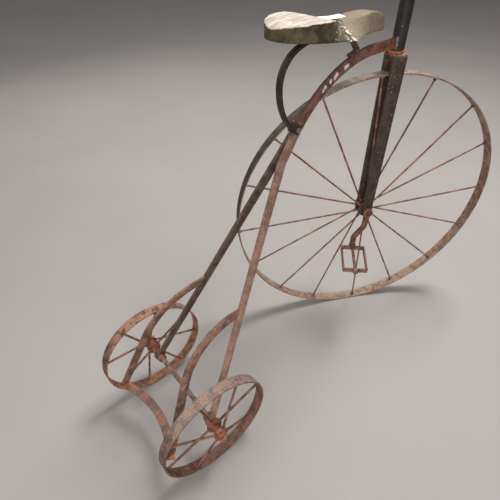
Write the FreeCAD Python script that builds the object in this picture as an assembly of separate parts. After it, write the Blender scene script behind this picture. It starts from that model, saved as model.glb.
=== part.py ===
"""Child's iron high-wheel tricycle, front fork turned a little to the right.

Units are millimetres.  +X points forward, +Y to the rider's left and +Z up.  The origin is
on the ground, under the middle of the outer box.  Each physical piece is written to its own
STEP file in parts/.
"""
import math
import os

import FreeCAD
import Part
from FreeCAD import Vector

# ---------------------------------------------------------------- driving dimensions
WHEELBASE = 625.0          # rear axle to head axis
STEER_DEG = -28.0          # the stored pose: fork turned to the right

FRONT_R = 355.6            # front rim, 28 inches across
FRONT_RIM_W = 28.0
RIM_T = 3.2                # both sizes of rim are one flat hoop
FRONT_SPOKES = 16
FRONT_SPOKE_R = 2.25
FRONT_SPOKE_PHASE = -3.7   # first spoke, degrees forward of straight up

REAR_R = 130.5
REAR_RIM_W = 24.0
REAR_TRACK = 270.0         # rim middle to rim middle
REAR_SPOKES = 8
REAR_SPOKE_R = 2.75
REAR_SPOKE_PHASE = {"left": 15.5, "right": 30.0}

BAR_H = 20.0               # backbone: flat bar set on edge
BAR_T = 6.0
STAY_H = 16.5              # the bar is drawn down where it runs on as a stay
BACKBONE_R = 262.0         # bend of the backbone's centre line
BACKBONE_Z = 770.5         # its centre line where it meets the head tube
BACKBONE_BEND_DEG = 57.1   # how far the bend turns before the stays start
JUNCTION_X = 330.0         # fold line, forward of the rear axle
STAY_RUN_ON = {"left": 0.0, "right": 55.0}    # straight stretch before each stay's fold
STAY_END_Y = {"left": 103.0, "right": 121.0}

BRACE_H = 20.0
BRACE_T = 6.0
BRACE_BEND_R = 158.0
BRACE_TOP_Z = 345.0
BRACE_FOOT_Y = 110.0
BRACE_FOOT_X = -101.6
STEP_W = 19.0              # foot step: flat bar bent forward on its edge
STEP_T = 5.0
STEP_Z = 92.2
STEP_END_X = -104.4
STEP_RISE = 29.0
STEP_HALF = 117.0

HEAD_R = 14.5
HEAD_Z0 = 756.0
HEAD_Z1 = 905.0
STEERER_R = 9.0
SHAFT_GAP = 0.05           # radial clearance of every turning shaft
FACE_GAP = 0.3             # end play between faces that turn on each other

FORK_HALF = 22.5           # outer face of a leg from the wheel's middle
FORK_T = 7.0
FORK_W_TOP = 31.0
FORK_W_FOOT = 25.0
FORK_CROWN_Z = 752.0

AXLE_R = 7.0               # front axle
REAR_AXLE_R = 5.5
HUB_BARREL_R = 12.0
HUB_FLANGE_R = 21.0
HUB_HALF = 11.0

CRANK_W = 15.0
CRANK_T = 8.0
CRANK_POINTS = ((0.0, 0.0), (-4.0, -46.0), (-28.0, -78.0), (-28.0, -108.0))  # (forward, up)
CRANK_BEND_R = 20.0
PEDAL_SPLAY_DEG = 17.0     # the pedal pin leans back from the wheel's axis
PEDAL_DROOP_DEG = 6.0
PEDAL_PIN_R = 4.0
PEDAL_L = 89.0
PEDAL_W = 66.0
PEDAL_BAR = 13.0           # height of the pedal's strap
PEDAL_T = 4.0

BAR_TOP_Z = 1002.0         # handlebar axis
HANDLEBAR_R = 8.0
HANDLEBAR_HALF = 232.0
GRIP_L = 105.0

STRAP_W = 13.0             # saddle spring and bracket strap
STRAP_T = 4.5
SADDLE_STATIONS = (        # forward of rear axle, half width below, half width above, top
    (264.5, 6.0, 6.0, 843.0),
    (268.0, 16.0, 15.0, 846.0),
    (275.0, 27.0, 27.0, 848.0),
    (287.0, 38.0, 40.5, 850.0),
    (305.0, 46.5, 51.0, 851.5),
    (332.0, 53.0, 56.5, 852.3),
    (358.0, 56.5, 50.0, 849.5),
    (380.0, 58.5, 28.0, 844.0),
    (403.0, 61.5, 18.5, 840.0),
    (425.0, 51.0, 18.5, 839.0),
    (452.0, 37.0, 20.0, 839.5),
    (482.0, 25.0, 19.0, 841.5),
    (508.0, 17.0, 15.0, 841.0),
    (532.0, 10.5, 10.0, 835.0),
    (550.0, 6.0, 6.0, 826.0),
    (560.0, 2.5, 2.5, 816.0),
)
UNDER_X = 254.0            # the plank's flat underside passes through this point
UNDER_Z = 827.5
UNDER_SLOPE = -0.083

CLIP_DEG = 54.0
CLIP_L = 19.0
CLIP_T = 2.5
CLIP_DEPTH = 14.0
LAP_DEG = 46.0             # the left stay's lap starts here on the bend
BOLT_R = 3.0
BOLT_DEPTH = 7.5           # below the bars' top edges
SPRING_BOTTOM = Vector(316.0, 0, 677.0)     # forward of the rear axle
SPRING_BACK = Vector(287.0, 0, 752.0)       # rearmost point of the bow
SPRING_TOP_R = 60.0
SPRING_TOP_TURN = 66.0                      # degrees round the upper bow
SPRING_CREST_R = 117.0
SPRING_FLAT = 38.0                          # stretch under the plank
SPRING_Y = 0.0
BRACKET_FOOT_X = 489.0     # forward of the rear axle
BRACKET_TOP_X = 459.0
BRACKET_FLAT = 24.0
SCREW_X = ((393.0, SPRING_Y), (413.0, SPRING_Y), (444.0, 0.0))
SCREW_R = 2.5
PEDAL_START = 10.0         # along the pin, where the pedal's inner end bar begins

# ---------------------------------------------------------------- derived dimensions
STEER = math.radians(STEER_DEG)
FRONT_REACH = FRONT_R * math.cos(STEER) + FRONT_RIM_W / 2 * abs(math.sin(STEER))
REAR_X = -(WHEELBASE + FRONT_REACH - REAR_R) / 2
HEAD_X = REAR_X + WHEELBASE
REAR_Z = REAR_R
FRONT_Z = FRONT_R
ARC_CX = JUNCTION_X + BACKBONE_R * math.sin(math.radians(BACKBONE_BEND_DEG))
ARC_CZ = BACKBONE_Z - BACKBONE_R
JUNCTION_Z = ARC_CZ + BACKBONE_R * math.cos(math.radians(BACKBONE_BEND_DEG))
STAY_EYE_HALF = 4.5
STAY_EYE_R = 13.0
COLLAR_GAP = 1.2           # the stay leans in past its eye, so the collar stands off
HUB_IN = STAY_END_Y["right"] + STAY_EYE_HALF + 2.3     # inner face of a rear hub
HUB_OUT = HUB_IN + 36.0
AXLE_END = HUB_OUT + 9.0
CRANK_IN = FORK_HALF + 1.5                      # inner face of a crank
CRANK_MID = CRANK_IN + CRANK_T / 2

X_AXIS = Vector(1, 0, 0)
Y_AXIS = Vector(0, 1, 0)
Z_AXIS = Vector(0, 0, 1)
SIDES = {"left": 1.0, "right": -1.0}
FOLD_Y = {"left": BAR_T, "right": 0.0}      # middle of each bar where the stays start
BARS_LOW = -BAR_T / 2      # outer faces of the two lapped bars
BARS_HIGH = BAR_T * 1.5
UNDER_TILT = math.degrees(math.atan(-UNDER_SLOPE))
FRONT_CENTRE = Vector(HEAD_X, 0, FRONT_Z)
PIN_BASE = Vector(CRANK_POINTS[-1][0], 0, CRANK_POINTS[-1][1])
PIN_END = PEDAL_START + PEDAL_L + FACE_GAP * 2 + 7.0
FLANGE_IN = HUB_IN + 5.5
FLANGE_OUT = HUB_OUT - 7.5


# ---------------------------------------------------------------- helpers
def rod(start, end, radius):
    """Round bar between two points."""
    run = end - start
    return Part.makeCylinder(radius, run.Length, start, run)


def box(low, high):
    """Block between two corners."""
    size = high - low
    return Part.makeBox(size.x, size.y, size.z, low)


def ring(outer, inner, low, high, centre):
    """Hoop about a line parallel to Y, from y = low to y = high."""
    start = Vector(centre.x, low, centre.z)
    tyre = Part.makeCylinder(outer, high - low, start, Y_AXIS)
    return tyre.cut(Part.makeCylinder(inner, high - low, start, Y_AXIS))


def rear_centre():
    """Middle of the rear axle."""
    return Vector(REAR_X, 0, REAR_Z)


def between(side, low, high):
    """Two distances from the middle as an ordered pair of y values."""
    return sorted((side * low, side * high))


def group(shapes):
    """Several separate solids kept in one node."""
    return Part.makeCompound([solid for shape in shapes for solid in shape.Solids])


def rounded_path(points, radius):
    """Straight runs joined by tangent arcs of one radius, as a wire."""
    edges = []
    last = points[0]
    for before, corner, after in zip(points, points[1:], points[2:]):
        back = (before - corner).normalize()
        ahead = (after - corner).normalize()
        half = back.getAngle(ahead) / 2
        reach = radius / math.tan(half)
        middle = (back + ahead).normalize() * (radius / math.sin(half) - radius)
        start = corner + back * reach
        edges.append(Part.LineSegment(last, start).toShape())
        edges.append(Part.Arc(start, corner + middle, corner + ahead * reach).toShape())
        last = corner + ahead * reach
    edges.append(Part.LineSegment(last, points[-1]).toShape())
    return Part.Wire(edges)


def strip(path, across, width, thick):
    """Flat bar along a planar path; its width lies along the vector across."""
    start = path.Edges[0].Curve.value(path.Edges[0].FirstParameter)
    ahead = path.Edges[0].tangentAt(path.Edges[0].FirstParameter)
    side = across.normalize() * (width / 2)
    face = across.cross(ahead).normalize() * (thick / 2)
    corners = [start + side + face, start - side + face, start - side - face, start + side - face]
    profile = Part.makePolygon(corners + corners[:1])
    return path.makePipeShell([profile], True, False)


def steered(shape):
    """Turn a shape built straight ahead to the stored steering angle."""
    turned = shape.copy()
    turned.rotate(Vector(HEAD_X, 0, 0), Z_AXIS, STEER_DEG)
    return turned


def largest(shape):
    """The biggest solid of a cut shape."""
    return sorted(shape.Solids, key=lambda solid: -solid.Volume)[0]


def half_space(point, normal, across, size):
    """Block that fills the side of a plane its normal points to; across lies in the plane."""
    wide = across * (size / 2)
    tall = normal.cross(across).normalize() * (size / 2)
    corners = [point + wide + tall, point - wide + tall, point - wide - tall, point + wide - tall]
    return Part.Face(Part.makePolygon(corners + corners[:1])).extrude(normal * (size / 2))


# ---------------------------------------------------------------- frame
def bend_outline(low_r, high_r, first_deg, last_deg):
    """Face in the middle plane between two radii of the backbone's bend."""
    centre = Vector(REAR_X + ARC_CX, 0, ARC_CZ)

    def at(radius, degrees):
        turn = math.radians(degrees)
        return centre + Vector(-radius * math.sin(turn), 0, radius * math.cos(turn))

    middle = (first_deg + last_deg) / 2
    edges = [
        Part.Arc(at(low_r, first_deg), at(low_r, middle), at(low_r, last_deg)).toShape(),
        Part.LineSegment(at(low_r, last_deg), at(high_r, last_deg)).toShape(),
        Part.Arc(at(high_r, last_deg), at(high_r, middle), at(high_r, first_deg)).toShape(),
        Part.LineSegment(at(high_r, first_deg), at(low_r, first_deg)).toShape(),
    ]
    return Part.Face(Part.Wire(edges))


def bend_bar(first_deg, last_deg, y_low):
    """Stretch of the curved bar on edge, BAR_T thick from y_low."""
    face = bend_outline(BACKBONE_R - BAR_H / 2, BACKBONE_R + BAR_H / 2, first_deg, last_deg)
    face.translate(Vector(0, y_low, 0))
    return face.extrude(Vector(0, BAR_T, 0))


def fold_frame(name):
    """Fold point and end of a stay, its run, the fold line's direction and the bend's run."""
    bend_end = Vector(REAR_X + JUNCTION_X, FOLD_Y[name], JUNCTION_Z)
    level = Vector(REAR_X, FOLD_Y[name], REAR_Z)
    before = (level - bend_end).normalize()
    fold = bend_end + before * STAY_RUN_ON[name]
    end = Vector(REAR_X, SIDES[name] * STAY_END_Y[name], REAR_Z)
    up = Vector(before.z, 0, -before.x)
    return fold, end, (end - fold).normalize(), up, before


def stay_edge_plane(name, sign):
    """Point, outward normal and run of a stay's rear (sign 1) or front (sign -1) edge."""
    fold, end, along, up, _ = fold_frame(name)
    first = fold + up * (sign * BAR_H / 2)
    run = (end + up * (sign * STAY_H / 2) - first).normalize()
    normal = run.cross(along.cross(up)).normalize()
    if normal.dot(up) * sign < 0:
        normal = normal * -1
    return first, normal, run


def slab(start, end, up, across, height, thick):
    """Straight bar between two points."""
    tall = up * (height / 2)
    corners = [start + tall, end + tall, end - tall, start - tall]
    outline = Part.Face(Part.makePolygon(corners + corners[:1]))
    outline.translate(across * (-thick / 2))
    return outline.extrude(across * thick)


def folded_bar(name, first_deg):
    """Bend, straight stretch and folded stay as one bar, with its axle eye."""
    fold, end, along, up, before = fold_frame(name)
    mitre = (along + before).normalize()
    lead = fold - before * (STAY_RUN_ON[name] + 3.0)
    straight = slab(lead, fold + before * 3.0, up, Y_AXIS, BAR_H, BAR_T)
    straight = straight.cut(half_space(fold, mitre, up, 90.0))
    stay = slab(fold - along * 3.0, end, up, along.cross(up).normalize(), BAR_H, BAR_T)
    stay = stay.cut(half_space(fold, mitre * -1, up, 90.0))
    for sign in (1.0, -1.0):
        stay = stay.cut(half_space(*stay_edge_plane(name, sign), 1600.0))
    bend = bend_bar(first_deg, BACKBONE_BEND_DEG, FOLD_Y[name] - BAR_T / 2)
    eye = rod(end - Y_AXIS * STAY_EYE_HALF, end + Y_AXIS * STAY_EYE_HALF, STAY_EYE_R)
    bore = rod(end - Y_AXIS * 20.0, end + Y_AXIS * 20.0, REAR_AXLE_R)
    return bend.fuse(straight).fuse(stay).fuse(eye).cut(bore)


def clip_place(down_deg):
    """Point on the bar's top edge and the two directions there, at an angle round the bend."""
    turn = math.radians(down_deg)
    out = Vector(-math.sin(turn), 0, math.cos(turn))
    along = Vector(math.cos(turn), 0, math.sin(turn))
    top = Vector(REAR_X + ARC_CX, 0, ARC_CZ) + out * (BACKBONE_R + BAR_H / 2)
    return top, along, out


def oriented_block(centre, along, out, length, depth, y_low, y_high):
    """Block set square to the bar: length along it, depth along out, between two y values."""
    corner = centre - along * (length / 2)
    corners = [corner, corner + along * length, corner + along * length + out * depth,
               corner + out * depth]
    face = Part.Face(Part.makePolygon(corners + corners[:1]))
    face.translate(Vector(0, y_low, 0))
    return face.extrude(Vector(0, y_high - y_low, 0))


def junction_clip():
    """Bent plate over the top edges of the two bars where the stays part."""
    top, along, out = clip_place(CLIP_DEG)
    low, high = BARS_LOW - CLIP_T, BARS_HIGH + CLIP_T
    lift = 0.6
    depth = CLIP_DEPTH + CLIP_T + lift
    outer = oriented_block(top - out * CLIP_DEPTH, along, out, CLIP_L, depth, low, high)
    inside = top - out * 20.0
    hollow = oriented_block(inside, along, out, CLIP_L + 4.0, 20.0 + lift, BARS_LOW, BARS_HIGH)
    return outer.cut(hollow).cut(junction_bolt_axis(BOLT_R, low - 5.0, high + 5.0))


def junction_bolt_axis(radius, y_low, y_high):
    """Cylinder on the clip bolt's axis."""
    top, _, out = clip_place(CLIP_DEG)
    centre = top - out * BOLT_DEPTH
    return rod(centre + Y_AXIS * y_low, centre + Y_AXIS * y_high, radius)


def junction_bolt():
    """Bolt through the clip, with its round head on the right and its nut on the left."""
    low, high = BARS_LOW - CLIP_T, BARS_HIGH + CLIP_T
    shank = junction_bolt_axis(BOLT_R, low, high + 6.5)
    head = junction_bolt_axis(5.5, low - 3.5, low)
    nut = junction_bolt_axis(5.2, high, high + 5.0)
    return shank.fuse(head).fuse(nut)


def backbone():
    """Curved backbone that runs on, in one bar, down to the right end of the rear axle."""
    low = Vector(REAR_X + ARC_CX, -BAR_T / 2, BACKBONE_Z - BAR_H / 2)
    high = Vector(HEAD_X, BAR_T / 2, BACKBONE_Z + BAR_H / 2)
    nose = box(low, high).cut(rod(Vector(HEAD_X, 0, 0), Vector(HEAD_X, 0, 1000), HEAD_R))
    bar = folded_bar("right", 0.0).fuse(nose)
    return bar.cut(junction_bolt_axis(BOLT_R, -30.0, 30.0)).removeSplitter()


def left_stay():
    """Separate stay, lapped on the backbone's left face and run down to the left axle end."""
    bar = folded_bar("left", LAP_DEG)
    return bar.cut(junction_bolt_axis(BOLT_R, -30.0, 30.0)).removeSplitter()


def brace(name):
    """Curved bar from the back of a stay down to the step."""
    foot = Vector(BRACE_FOOT_X, 0, STEP_Z)
    rise = Vector(118.7, 0, BRACE_TOP_Z - STEP_Z)
    path = rounded_path([Vector(150.0, 0, BRACE_TOP_Z), foot + rise, foot - rise * 0.06], BRACE_BEND_R)
    bar = strip(path, Y_AXIS, BRACE_T, BRACE_H)
    fold, end, _, _, _ = fold_frame(name)
    share = (fold.z - BRACE_TOP_Z) / (fold.z - end.z)
    top_y = fold.y + (end.y - fold.y) * share
    splay = math.degrees(math.atan((SIDES[name] * BRACE_FOOT_Y - top_y) / (BRACE_TOP_Z - STEP_Z)))
    bar.rotate(Vector(0, 0, BRACE_TOP_Z), X_AXIS, splay)
    bar.translate(Vector(REAR_X, top_y, 0))
    edge, normal, run = stay_edge_plane(name, 1.0)
    bar = bar.cut(half_space(edge, normal * -1, run, 2000.0))
    floor = STEP_Z + STEP_T / 2
    below = box(Vector(REAR_X - 300.0, -300.0, -50.0), Vector(REAR_X + 300.0, 300.0, floor))
    return largest(bar.cut(below))


def rear_step():
    """Flat bar across the back, bent forward in the middle, which the braces stand on."""
    inner = []
    for offset in (-STEP_W / 2, STEP_W / 2):
        chord = STEP_HALF - 5.0
        radius = (chord ** 2 + STEP_RISE ** 2) / (2 * STEP_RISE)
        centre_x = STEP_END_X + STEP_RISE - radius
        reach = radius + offset
        swing = math.asin(STEP_HALF / radius)
        middle = Vector(REAR_X + centre_x, 0, STEP_Z - STEP_T / 2)
        ends = [middle + Vector(reach * math.cos(turn), reach * math.sin(turn), 0)
                for turn in (-swing, 0.0, swing)]
        inner.append(ends)
    back, front = inner
    edges = [
        Part.Arc(*back).toShape(),
        Part.LineSegment(back[2], front[2]).toShape(),
        Part.Arc(front[2], front[1], front[0]).toShape(),
        Part.LineSegment(front[0], back[0]).toShape(),
    ]
    return Part.Face(Part.Wire(edges)).extrude(Z_AXIS * STEP_T)


def head_tube():
    """Steering tube with the steerer's bore."""
    low = Vector(HEAD_X, 0, HEAD_Z0)
    tube = Part.makeCylinder(HEAD_R, HEAD_Z1 - HEAD_Z0, low)
    return tube.cut(Part.makeCylinder(STEERER_R + SHAFT_GAP, HEAD_Z1 - HEAD_Z0, low))


def rear_axle():
    """Round bar across both stay eyes and both rear hubs, drilled for the linch pins."""
    bar = rod(Vector(REAR_X, -AXLE_END, REAR_Z), Vector(REAR_X, AXLE_END, REAR_Z), REAR_AXLE_R)
    for side in SIDES.values():
        bar = bar.cut(linch_pin(side))
    return bar


def linch_pin(side):
    """Upright pin through one axle end."""
    y_pin = side * (AXLE_END - 4.5)
    low = Vector(REAR_X, y_pin, REAR_Z - 9.5)
    return rod(low, low + Z_AXIS * 20.0, 1.6)


def axle_ring(side, low, high, outer):
    """Ring on the rear axle between two distances from the middle."""
    return ring(outer, REAR_AXLE_R, *between(side, low, high), rear_centre())


def inner_axle_rings():
    """Spacers from each stay eye to its hub, and a collar inside each eye."""
    rings = []
    for name, side in SIDES.items():
        rings.append(axle_ring(side, STAY_END_Y[name] + STAY_EYE_HALF, HUB_IN - FACE_GAP, 9.5))
        eye = STAY_END_Y[name] - STAY_EYE_HALF - COLLAR_GAP
        rings.append(axle_ring(side, eye - 11.0, eye, 10.5))
    return group(rings)


# ---------------------------------------------------------------- saddle
def under_z(x_from_axle):
    """Height of the plank's underside."""
    return UNDER_Z + UNDER_SLOPE * (x_from_axle - UNDER_X)


def saddle_section(x_from_axle, low_half, high_half, top):
    """Outline across the plank at one station."""
    low = under_z(x_from_axle)
    x = REAR_X + x_from_axle
    corners = [Vector(x, -low_half, low), Vector(x, low_half, low), Vector(x, high_half, top),
               Vector(x, -high_half, top)]
    return Part.makePolygon(corners + corners[:1])


def saddle_board():
    """Wooden plank: pear-shaped below, its top carved to a waist and a raised nose."""
    board = Part.makeLoft([saddle_section(*station) for station in SADDLE_STATIONS], True, False)
    for screw in saddle_screw_shanks():
        board = board.cut(screw)
    return board


def spring_path():
    """Centre line of the bowed strap that carries the back of the saddle."""
    low, back = SPRING_BOTTOM, SPRING_BACK
    run = low - back
    low_r = (run.x ** 2 + run.z ** 2) / (2 * run.x)
    low_c = back + X_AXIS * low_r
    turn = math.atan2(low_c.z - low.z, low_c.x - low.x)
    mid_low = low_c - Vector(math.cos(turn / 2), 0, math.sin(turn / 2)) * low_r
    down = Vector(math.sin(turn), 0, -math.cos(turn))
    tail = low + down * 14.0
    high_c = back + X_AXIS * SPRING_TOP_R
    swing = math.radians(SPRING_TOP_TURN)

    def high_at(angle):
        return high_c + Vector(-math.cos(angle), 0, math.sin(angle)) * SPRING_TOP_R

    crest_start = high_at(swing)
    to_centre = Vector(math.cos(swing), 0, -math.sin(swing))
    crest_c = crest_start + to_centre * SPRING_CREST_R
    tilt = math.radians(UNDER_TILT)

    def crest_at(angle):
        return crest_c + Vector(-math.cos(angle), 0, math.sin(angle)) * SPRING_CREST_R

    crest_end_angle = math.pi / 2 + tilt
    crest_end = crest_at(crest_end_angle)
    flat_end = crest_end + Vector(math.cos(tilt), 0, -math.sin(tilt)) * SPRING_FLAT
    edges = [
        Part.LineSegment(tail, low).toShape(),
        Part.Arc(low, mid_low, back).toShape(),
        Part.Arc(back, high_at(swing / 2), crest_start).toShape(),
        Part.Arc(crest_start, crest_at((swing + crest_end_angle) / 2), crest_end).toShape(),
        Part.LineSegment(crest_end, flat_end).toShape(),
    ]
    return Part.Wire(edges), crest_end


def saddle_spring():
    """Bowed strap from the junction clip up and round to the plank's underside."""
    path, crest_end = spring_path()
    lift = under_z(crest_end.x) - STRAP_T / 2 / math.cos(math.radians(UNDER_TILT)) - crest_end.z
    bar = strip(path, Y_AXIS, STRAP_W, STRAP_T)
    bar.translate(Vector(REAR_X, SPRING_Y, lift))
    bar = bar.cut(oriented_block(*clip_solid_block()))
    for screw in saddle_screw_shanks():
        bar = bar.cut(screw)
    return largest(bar)


def clip_solid_block():
    """Arguments of a block that fills the clip and everything under it."""
    top, along, out = clip_place(CLIP_DEG)
    return top - out * 60.0, along, out, 90.0, 60.6 + CLIP_T, -30.0, 30.0


def bracket_path():
    """Centre line of the front strap: foot back along the backbone, web, flange under the plank."""
    reach = BACKBONE_R + BAR_H / 2 + STRAP_T / 2

    def on_bar(x_from_axle):
        return Vector(x_from_axle, 0, ARC_CZ + math.sqrt(reach ** 2 - (x_from_axle - ARC_CX) ** 2))

    def below(x_from_axle):
        tilt = math.radians(UNDER_TILT)
        return Vector(x_from_axle, 0, under_z(x_from_axle) - STRAP_T / 2 / math.cos(tilt))

    knee = on_bar(BRACKET_FOOT_X)
    slope = Vector(ARC_CZ - knee.z, 0, knee.x - ARC_CX).normalize()
    if slope.x > 0:
        slope = slope * -1
    head = [below(BRACKET_TOP_X), below(BRACKET_TOP_X - BRACKET_FLAT)]
    points = [knee + slope * BRACKET_FLAT, knee] + head
    return rounded_path(points, 5.0)


def saddle_bracket():
    """Short cranked strap that carries the front of the saddle."""
    bar = strip(bracket_path(), Y_AXIS, STRAP_W, STRAP_T)
    bar.translate(Vector(REAR_X, 0, 0))
    bar = bar.cut(bend_bar(0.0, 40.0, -BAR_T / 2))
    for screw in saddle_screw_shanks():
        bar = bar.cut(screw)
    return largest(bar)


def screw_frame(x_from_axle, y_place):
    """Point on the underside and the direction square to it."""
    tilt = math.radians(UNDER_TILT)
    point = Vector(REAR_X + x_from_axle, y_place, under_z(x_from_axle))
    return point, Vector(math.sin(tilt), 0, math.cos(tilt))


def saddle_screw_shanks():
    """Shanks of the wood screws, used to drill the strap and the plank."""
    shanks = []
    for x_from_axle, y_place in SCREW_X:
        point, out = screw_frame(x_from_axle, y_place)
        shanks.append(rod(point - out * STRAP_T, point + out * 12.0, SCREW_R))
    return shanks


def saddle_screws():
    """Round-headed wood screws up through the straps."""
    screws = []
    for (x_from_axle, y_place), shank in zip(SCREW_X, saddle_screw_shanks()):
        point, out = screw_frame(x_from_axle, y_place)
        base = point - out * STRAP_T
        screws.append(shank.fuse(rod(base - out * 3.0, base, 5.0)))
    return group(screws)


# ---------------------------------------------------------------- fork and handlebar
def fork():
    """One flat bar bent into an upside-down U over the front wheel, legs tapering to round feet."""
    half = FORK_HALF - FORK_T / 2
    foot_z = FRONT_Z - 30.0
    crown = FORK_CROWN_Z - FORK_T / 2
    path = rounded_path([Vector(0, -half, foot_z), Vector(0, -half, crown), Vector(0, half, crown),
                         Vector(0, half, foot_z)], 7.5)
    bent = strip(path, X_AXIS, 60.0, FORK_T)
    bent.translate(Vector(HEAD_X, 0, 0))
    top, foot = FORK_W_TOP / 2, FORK_W_FOOT / 2
    corners = [Vector(HEAD_X - foot, -50, FRONT_Z), Vector(HEAD_X - top, -50, FORK_CROWN_Z + 5),
               Vector(HEAD_X + top, -50, FORK_CROWN_Z + 5), Vector(HEAD_X + foot, -50, FRONT_Z)]
    sides = [Part.LineSegment(a, b).toShape() for a, b in zip(corners, corners[1:])]
    toe = Part.Arc(corners[3], Vector(HEAD_X, -50, FRONT_Z - foot), corners[0]).toShape()
    outline = Part.Face(Part.Wire(sides + [toe])).extrude(Y_AXIS * 100.0)
    legs = bent.common(outline)
    bore = rod(Vector(HEAD_X, -50, FRONT_Z), Vector(HEAD_X, 50, FRONT_Z), AXLE_R + SHAFT_GAP)
    socket = rod(Vector(HEAD_X, 0, FORK_CROWN_Z - 20), Vector(HEAD_X, 0, FORK_CROWN_Z + 20), STEERER_R)
    return steered(legs.cut(bore).cut(socket))


def steerer():
    """Round stem from the fork crown up through the head tube, peened under the crown."""
    low = FORK_CROWN_Z - FORK_T
    bar = rod(Vector(HEAD_X, 0, low), Vector(HEAD_X, 0, BAR_TOP_Z - 16.0), STEERER_R)
    button = rod(Vector(HEAD_X, 0, low - 4.0), Vector(HEAD_X, 0, low), 12.5)
    return steered(bar.fuse(button))


def steerer_ring(outer, low, high):
    """Plain ring round the steerer."""
    start = Vector(HEAD_X, 0, low)
    disc = Part.makeCylinder(outer, high - low, start)
    return steered(disc.cut(Part.makeCylinder(STEERER_R, high - low, start)))


def head_nut():
    """Square nut over the head tube."""
    low, high = HEAD_Z1 + FACE_GAP + 2.5, HEAD_Z1 + FACE_GAP + 13.0
    half = 14.0
    block = box(Vector(HEAD_X - half, -half, low), Vector(HEAD_X + half, half, high))
    ball = Part.makeCylinder(half * 1.28, high - low, Vector(HEAD_X, 0, low))
    bore = rod(Vector(HEAD_X, 0, low - 5), Vector(HEAD_X, 0, high + 5), STEERER_R)
    return steered(block.common(ball).cut(bore))


def handlebar():
    """Straight round bar through the stem head."""
    half = HANDLEBAR_HALF
    return steered(rod(Vector(HEAD_X, -half, BAR_TOP_Z), Vector(HEAD_X, half, BAR_TOP_Z), HANDLEBAR_R))


def stem_head():
    """Forged socket that joins the handlebar to the steerer."""
    low, high = BAR_TOP_Z - 42.0, BAR_TOP_Z + 14.0
    post = Part.makeCylinder(14.0, high - low, Vector(HEAD_X, 0, low))
    sleeve = rod(Vector(HEAD_X, -24, BAR_TOP_Z), Vector(HEAD_X, 24, BAR_TOP_Z), 12.5)
    head = post.fuse(sleeve)
    head = head.cut(rod(Vector(HEAD_X, -60, BAR_TOP_Z), Vector(HEAD_X, 60, BAR_TOP_Z), HANDLEBAR_R))
    head = head.cut(rod(Vector(HEAD_X, 0, low - 1), Vector(HEAD_X, 0, BAR_TOP_Z - 16.0), STEERER_R))
    return steered(head)


def grip(side):
    """Turned wooden grip, swelling in the middle, with a domed end."""
    inner = HANDLEBAR_HALF + 6.0 - GRIP_L
    outer = HANDLEBAR_HALF + 6.0
    near = Vector(HEAD_X + 11.5, inner, BAR_TOP_Z)
    shoulder = Vector(HEAD_X + 12.0, outer - 4.0, BAR_TOP_Z)
    belly = Part.Arc(near, Vector(HEAD_X + 14.5, inner + GRIP_L * 0.55, BAR_TOP_Z), shoulder).toShape()
    rim = Vector(HEAD_X + 7.0, outer, BAR_TOP_Z)
    dome = Part.Arc(shoulder, Vector(HEAD_X + 10.6, outer - 1.2, BAR_TOP_Z), rim).toShape()
    tail = [rim, Vector(HEAD_X, outer, BAR_TOP_Z), Vector(HEAD_X, inner, BAR_TOP_Z), near]
    edges = [belly, dome] + [Part.LineSegment(a, b).toShape() for a, b in zip(tail, tail[1:])]
    body = Part.Face(Part.Wire(edges)).revolve(Vector(HEAD_X, 0, BAR_TOP_Z), Y_AXIS, 360.0)
    mouth = Vector(HEAD_X, inner - 1.0, BAR_TOP_Z)
    bore = rod(mouth, Vector(HEAD_X, HANDLEBAR_HALF, BAR_TOP_Z), HANDLEBAR_R)
    body = body.cut(bore)
    if side < 0:
        body.rotate(Vector(HEAD_X, 0, BAR_TOP_Z), Z_AXIS, 180.0)
    return steered(body)


# ---------------------------------------------------------------- front wheel


def front_axle():
    """Axle through hub, fork feet and cranks, with its ends peened over."""
    end = CRANK_IN + CRANK_T
    bar = rod(FRONT_CENTRE - Y_AXIS * end, FRONT_CENTRE + Y_AXIS * end, AXLE_R)
    for side in SIDES.values():
        start = FRONT_CENTRE + Y_AXIS * (side * end)
        bar = bar.fuse(rod(start, start + Y_AXIS * (side * 3.0), AXLE_R + 2.5))
    return steered(bar)


def front_hub_straight():
    """Spool with two spoke flanges, straight ahead."""
    hub = ring(HUB_BARREL_R, AXLE_R, -HUB_HALF, HUB_HALF, FRONT_CENTRE)
    for side in SIDES.values():
        ends = sorted((side * (HUB_HALF - 4.0), side * HUB_HALF))
        hub = hub.fuse(ring(HUB_FLANGE_R, AXLE_R, ends[0], ends[1], FRONT_CENTRE))
    return hub.removeSplitter()


def front_rim_straight():
    """Flat iron hoop, straight ahead."""
    return ring(FRONT_R, FRONT_R - RIM_T, -FRONT_RIM_W / 2, FRONT_RIM_W / 2, FRONT_CENTRE)


def spoke_line(centre, phase, start_r, end_r, start_y, end_y):
    """End points of one spoke; phase is measured forward from straight up."""
    turn = math.radians(phase)
    out = Vector(math.sin(turn), 0, math.cos(turn))
    return centre + out * start_r + Y_AXIS * start_y, centre + out * end_r + Y_AXIS * end_y


def front_spoke_ends():
    """End points of every front spoke, taking the two flanges in turn."""
    lines = []
    for count in range(FRONT_SPOKES):
        side = 1.0 if count % 2 else -1.0
        phase = FRONT_SPOKE_PHASE + 360.0 / FRONT_SPOKES * count
        lines.append(spoke_line(FRONT_CENTRE, phase, HUB_FLANGE_R - 5.0, FRONT_R - 1.0,
                                side * (HUB_HALF - 2.0), side * 3.5))
    return lines


def front_spokes(hub, rim):
    """Sixteen round rods, cut to meet hub and hoop."""
    rods = [rod(start, end, FRONT_SPOKE_R).cut(hub).cut(rim) for start, end in front_spoke_ends()]
    return steered(group([largest(piece) for piece in rods]))


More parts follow.
